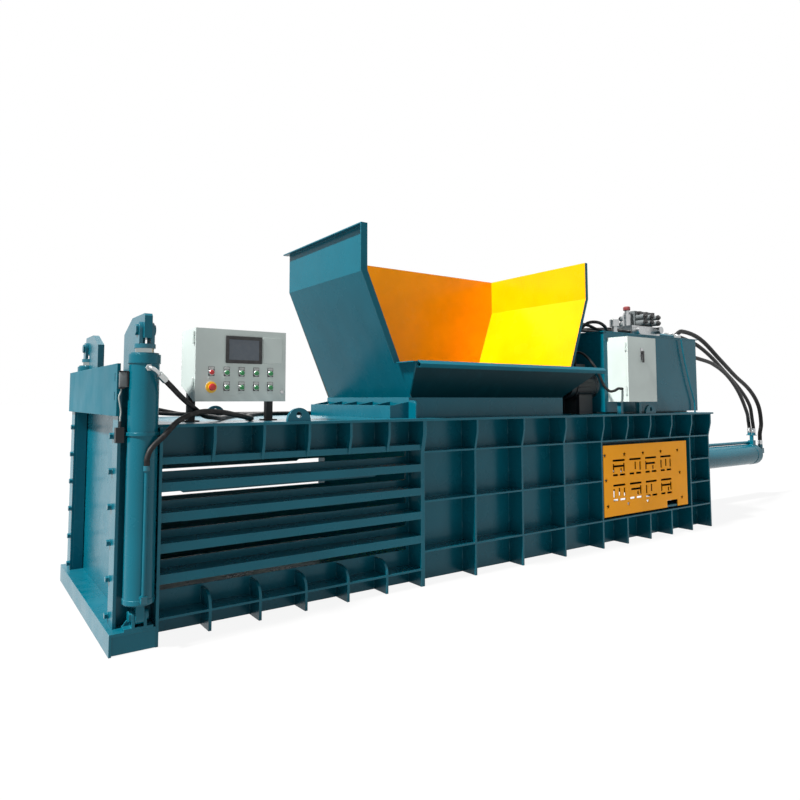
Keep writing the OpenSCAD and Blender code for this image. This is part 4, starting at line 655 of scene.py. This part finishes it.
# Turn handle of the cabinet: a shield plate and a lever on a boss
HANDLE_X, HANDLE_Y, HANDLE_Z = 3.995, -0.800, 1.608
SHIELD_HALF, SHIELD_T, SHIELD_DOWN, SHIELD_UP = 0.021, 0.0035, 0.062, 0.040
LEVER_HALF, LEVER_BACK, LEVER_FRONT, LEVER_DOWN, LEVER_UP = 0.010, 0.009, 0.020, 0.085, 0.015
BOSS = ((0.0075, -0.009), (0.0075, 0.0040), (0.0160, 0.0042), (0.0165, 0.0060), (0.0140, 0.0092))
shield = block((HANDLE_X - SHIELD_HALF, HANDLE_Y - SHIELD_T, HANDLE_Z - SHIELD_DOWN),
               (HANDLE_X + SHIELD_HALF, HANDLE_Y, HANDLE_Z + SHIELD_UP), bevel=0.003, segments=3)
close(shield, "handle_shield", plated, "cabinet_door")
lever = block((HANDLE_X - LEVER_HALF, HANDLE_Y - LEVER_FRONT, HANDLE_Z - LEVER_DOWN),
              (HANDLE_X + LEVER_HALF, HANDLE_Y - LEVER_BACK, HANDLE_Z + LEVER_UP), bevel=0.004, segments=3)
boss = lay(turned(BOSS), NEAR_SIDE, (HANDLE_X, HANDLE_Y, HANDLE_Z))
handle = close(join([lever, boss]), "turn_lever", black_plastic, "cabinet_handle")
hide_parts("cabinet_handle")

# Weld beads where the ribs meet the skins
SKIN_Y, RIB_HALF = 0.564, 0.008
FEED_RIB_X, FEED_RIB_HALF, RIB_STEP = 1.698, 0.015, 0.465
WINDOW_X, WINDOW_STEP, WINDOW_END_X, END_RIB_X = 3.558, 0.325, 4.858, 5.183
SLOT_RIB_STEP = 0.283
FULL_WELDS, PART_WELDS = (0.12, 0.32, 0.50, 0.68, 0.97), (0.12, 0.97)
BEAD = ((0.0022, -0.030), (0.0050, -0.026), (0.0055, -0.012), (0.0048, -0.004), (0.0055, 0.006),
        (0.0050, 0.024), (0.0022, 0.030))
full_ribs = [FEED_RIB_X + RIB_STEP * i for i in range(5)] + [WINDOW_END_X, END_RIB_X]
part_ribs = [SLOT_RIB_STEP * i for i in range(1, 6)] + [WINDOW_X + WINDOW_STEP * i for i in range(1, 4)]
beads = []
for x in full_ribs + part_ribs:
    half = FEED_RIB_HALF if x == FEED_RIB_X else RIB_HALF
    heights = FULL_WELDS if x in full_ribs else PART_WELDS
    beads += [(x + edge * half, side * SKIN_Y, z) for side in (-1, 1) for edge in (-1, 1) for z in heights]
close(repeat(turned(BEAD, 8), beads), "rib_welds", teal, "frame", angle=60)

# Switch beside the door post and the thin cable down to the lower one
SWITCH_Y, SWITCH_HALF, BRACKET_HALF = -0.734, 0.022, 0.026
SWITCH_X, SWITCH_Z = (-0.212, -0.172), (1.272, 1.346)
BRACKET_X, POST_FACE_Y = (-0.214, -0.1705), -0.7051
SHELF_END_X, SHELF_Z = -0.188, (1.264, 1.2715)
BACK_X, BACK_Z = -0.178, (1.276, 1.350)
HOOD_Z = (1.3465, 1.352)
switch = block((SWITCH_X[0], SWITCH_Y - SWITCH_HALF, SWITCH_Z[0]),
               (SWITCH_X[1], SWITCH_Y + SWITCH_HALF, SWITCH_Z[1]), bevel=0.003)
close(switch, "upper_switch_body", grey_plastic, "frame")
near, far = SWITCH_Y - BRACKET_HALF, SWITCH_Y + BRACKET_HALF
shelf = block((BRACKET_X[0], near, SHELF_Z[0]), (SHELF_END_X, POST_FACE_Y, SHELF_Z[1]), 0.001, 1)
back = block((BACK_X, near, BACK_Z[0]), (BRACKET_X[1], far, BACK_Z[1]), 0.001, 1)
hood = block((BRACKET_X[0], near, HOOD_Z[0]), (BRACKET_X[1], POST_FACE_Y, HOOD_Z[1]), 0.001, 1)
close(join([shelf, back, hood]), "upper_switch_bracket", black_coat, "frame")
hose("switch_cable", [
    (-200, -734, 1263.7), (-200, -734, 1258), (-201, -734, 1250), (-209, -735, 1225), (-204, -735, 1190),
    (-198, -734, 1150), (-200, -734, 1125), (-200, -734, 1115), (-200, -734, 1105.3)],
    SWITCH_CABLE_R, None, material=cable_grey)

# Valve group on the tank: nuts at both ends of the coils, plugs on top, and the relief valve's cap
VALVES, FIRST_VALVE_X, VALVE_STEP, COIL_MIDDLE = 3, 4.520, 0.105, 0.036
COIL_ROWS = (1.943, 1.998)
COIL_ENDS = ((-1, -0.470), (1, -0.220))
COIL_NUT = ((0.021, -0.002), (0.026, 0.0), (0.026, 0.012), (0.020, 0.014), (0.0155, 0.015), (0.0150, 0.026),
            (0.010, 0.028))
PLUG_ROWS, PLUG_HALF, PLUG_DEEP, PLUG_Z = (-0.430, -0.285), 0.018, 0.030, (2.016, 2.052)
RELIEF_CAP = ((0.0225, 0), (0.030, 0.001), (0.033, 0.006), (0.033, 0.030), (0.028, 0.038), (0.016, 0.041))
RELIEF_AT = (4.460, -0.345, 2.058)
coil_nuts, plugs = [], []
for i in range(VALVES):
    x = FIRST_VALVE_X + VALVE_STEP * i + COIL_MIDDLE
    for z in COIL_ROWS:
        for side, y in COIL_ENDS:
            coil_nuts.append(lay(turned(COIL_NUT, 16), (0, side, 0), (x, y, z)))
    for y in PLUG_ROWS:
        plugs.append(block((x - PLUG_HALF, y, PLUG_Z[0]), (x + PLUG_HALF, y + PLUG_DEEP, PLUG_Z[1]), 0.003))
close(join(coil_nuts), "coil_nuts", black_plastic, "frame")
close(join(plugs), "coil_plugs", black_plastic, "frame")
relief_cap = lay(turned(RELIEF_CAP, 28), up, RELIEF_AT)
close(relief_cap, "relief_valve_cap", dull_red, "frame")


# Floor, light and background

def seen_by(tree, kinds):
    """1 for rays of these kinds and 0 for all others."""
    paths = tree.nodes.new("ShaderNodeLightPath")
    seen = paths.outputs[kinds[0]]
    for kind in kinds[1:]:
        either = tree.nodes.new("ShaderNodeMath")
        either.operation = "MAXIMUM"
        tree.links.new(seen, either.inputs[0])
        tree.links.new(paths.outputs[kind], either.inputs[1])
        seen = either.outputs[0]
    return seen


def mix_into(tree, share, first, second, output):
    mixer = tree.nodes.new("ShaderNodeMixShader")
    tree.links.new(share, mixer.inputs[0])
    tree.links.new(first.outputs[0], mixer.inputs[1])
    tree.links.new(second.outputs[0], mixer.inputs[2])
    tree.links.new(mixer.outputs[0], tree.nodes[output].inputs["Surface"])


FLOOR_SIZE, FLOOR_MIDDLE = 240, (2.5, 0, 0)
FLOOR_GREY = (0.38, 0.38, 0.38, 1)
FLOOR_WHITE, FLOOR_SHARE = 1.05, 0.86
clear()
mesh.primitive_plane_add(size=FLOOR_SIZE, location=FLOOR_MIDDLE)
floor = bpy.context.object
floor.name = "studio_floor"
ground_paper = bpy.data.materials.new("floor_paper")
ground_paper.use_nodes = True
tree = ground_paper.node_tree
diffuse = tree.nodes["Principled BSDF"]
diffuse.inputs["Base Color"].default_value = FLOOR_GREY
diffuse.inputs["Roughness"].default_value = 1.0
diffuse.inputs["Specular IOR Level"].default_value = 0.0
share = tree.nodes.new("ShaderNodeMath")
share.operation = "MULTIPLY"
share.inputs[1].default_value = FLOOR_SHARE
tree.links.new(seen_by(tree, ("Is Camera Ray", "Is Glossy Ray")), share.inputs[0])
white = tree.nodes.new("ShaderNodeEmission")
white.inputs["Strength"].default_value = FLOOR_WHITE
mix_into(tree, share.outputs[0], diffuse, white, "Material Output")
floor.data.materials.append(ground_paper)

SKY_COLOUR, SKY_STRENGTH = (0.93, 0.96, 1.0, 1), 0.34
world = bpy.data.worlds.new("studio")
scene.world = world
world.use_nodes = True
tree = world.node_tree
sky = tree.nodes["Background"]
sky.inputs["Color"].default_value = SKY_COLOUR
sky.inputs["Strength"].default_value = SKY_STRENGTH
white = tree.nodes.new("ShaderNodeBackground")
white.inputs["Color"].default_value = (1, 1, 1, 1)
white.inputs["Strength"].default_value = 1.0
seen = seen_by(tree, ("Is Camera Ray", "Is Glossy Ray", "Is Transmission Ray"))
mix_into(tree, seen, sky, white, "World Output")

SUN_COLOUR = (1.0, 0.98, 0.95)


def sun(name, towards, strength, size):
    bpy.ops.object.light_add(type="SUN", location=(0, 0, 6))
    lamp = bpy.context.object
    lamp.name = name
    lamp.rotation_mode = "QUATERNION"
    lamp.rotation_quaternion = (-up).rotation_difference(Vector(towards))
    lamp.data.energy = strength
    lamp.data.angle = math.radians(size)
    lamp.data.color = SUN_COLOUR


sun("key_light", towards=(0.62, 0.03, -0.78), strength=8.0, size=5)
sun("back_fill", towards=(-0.45, -0.75, -0.50), strength=0.8, size=30)

scene.view_settings.view_transform = "Standard"
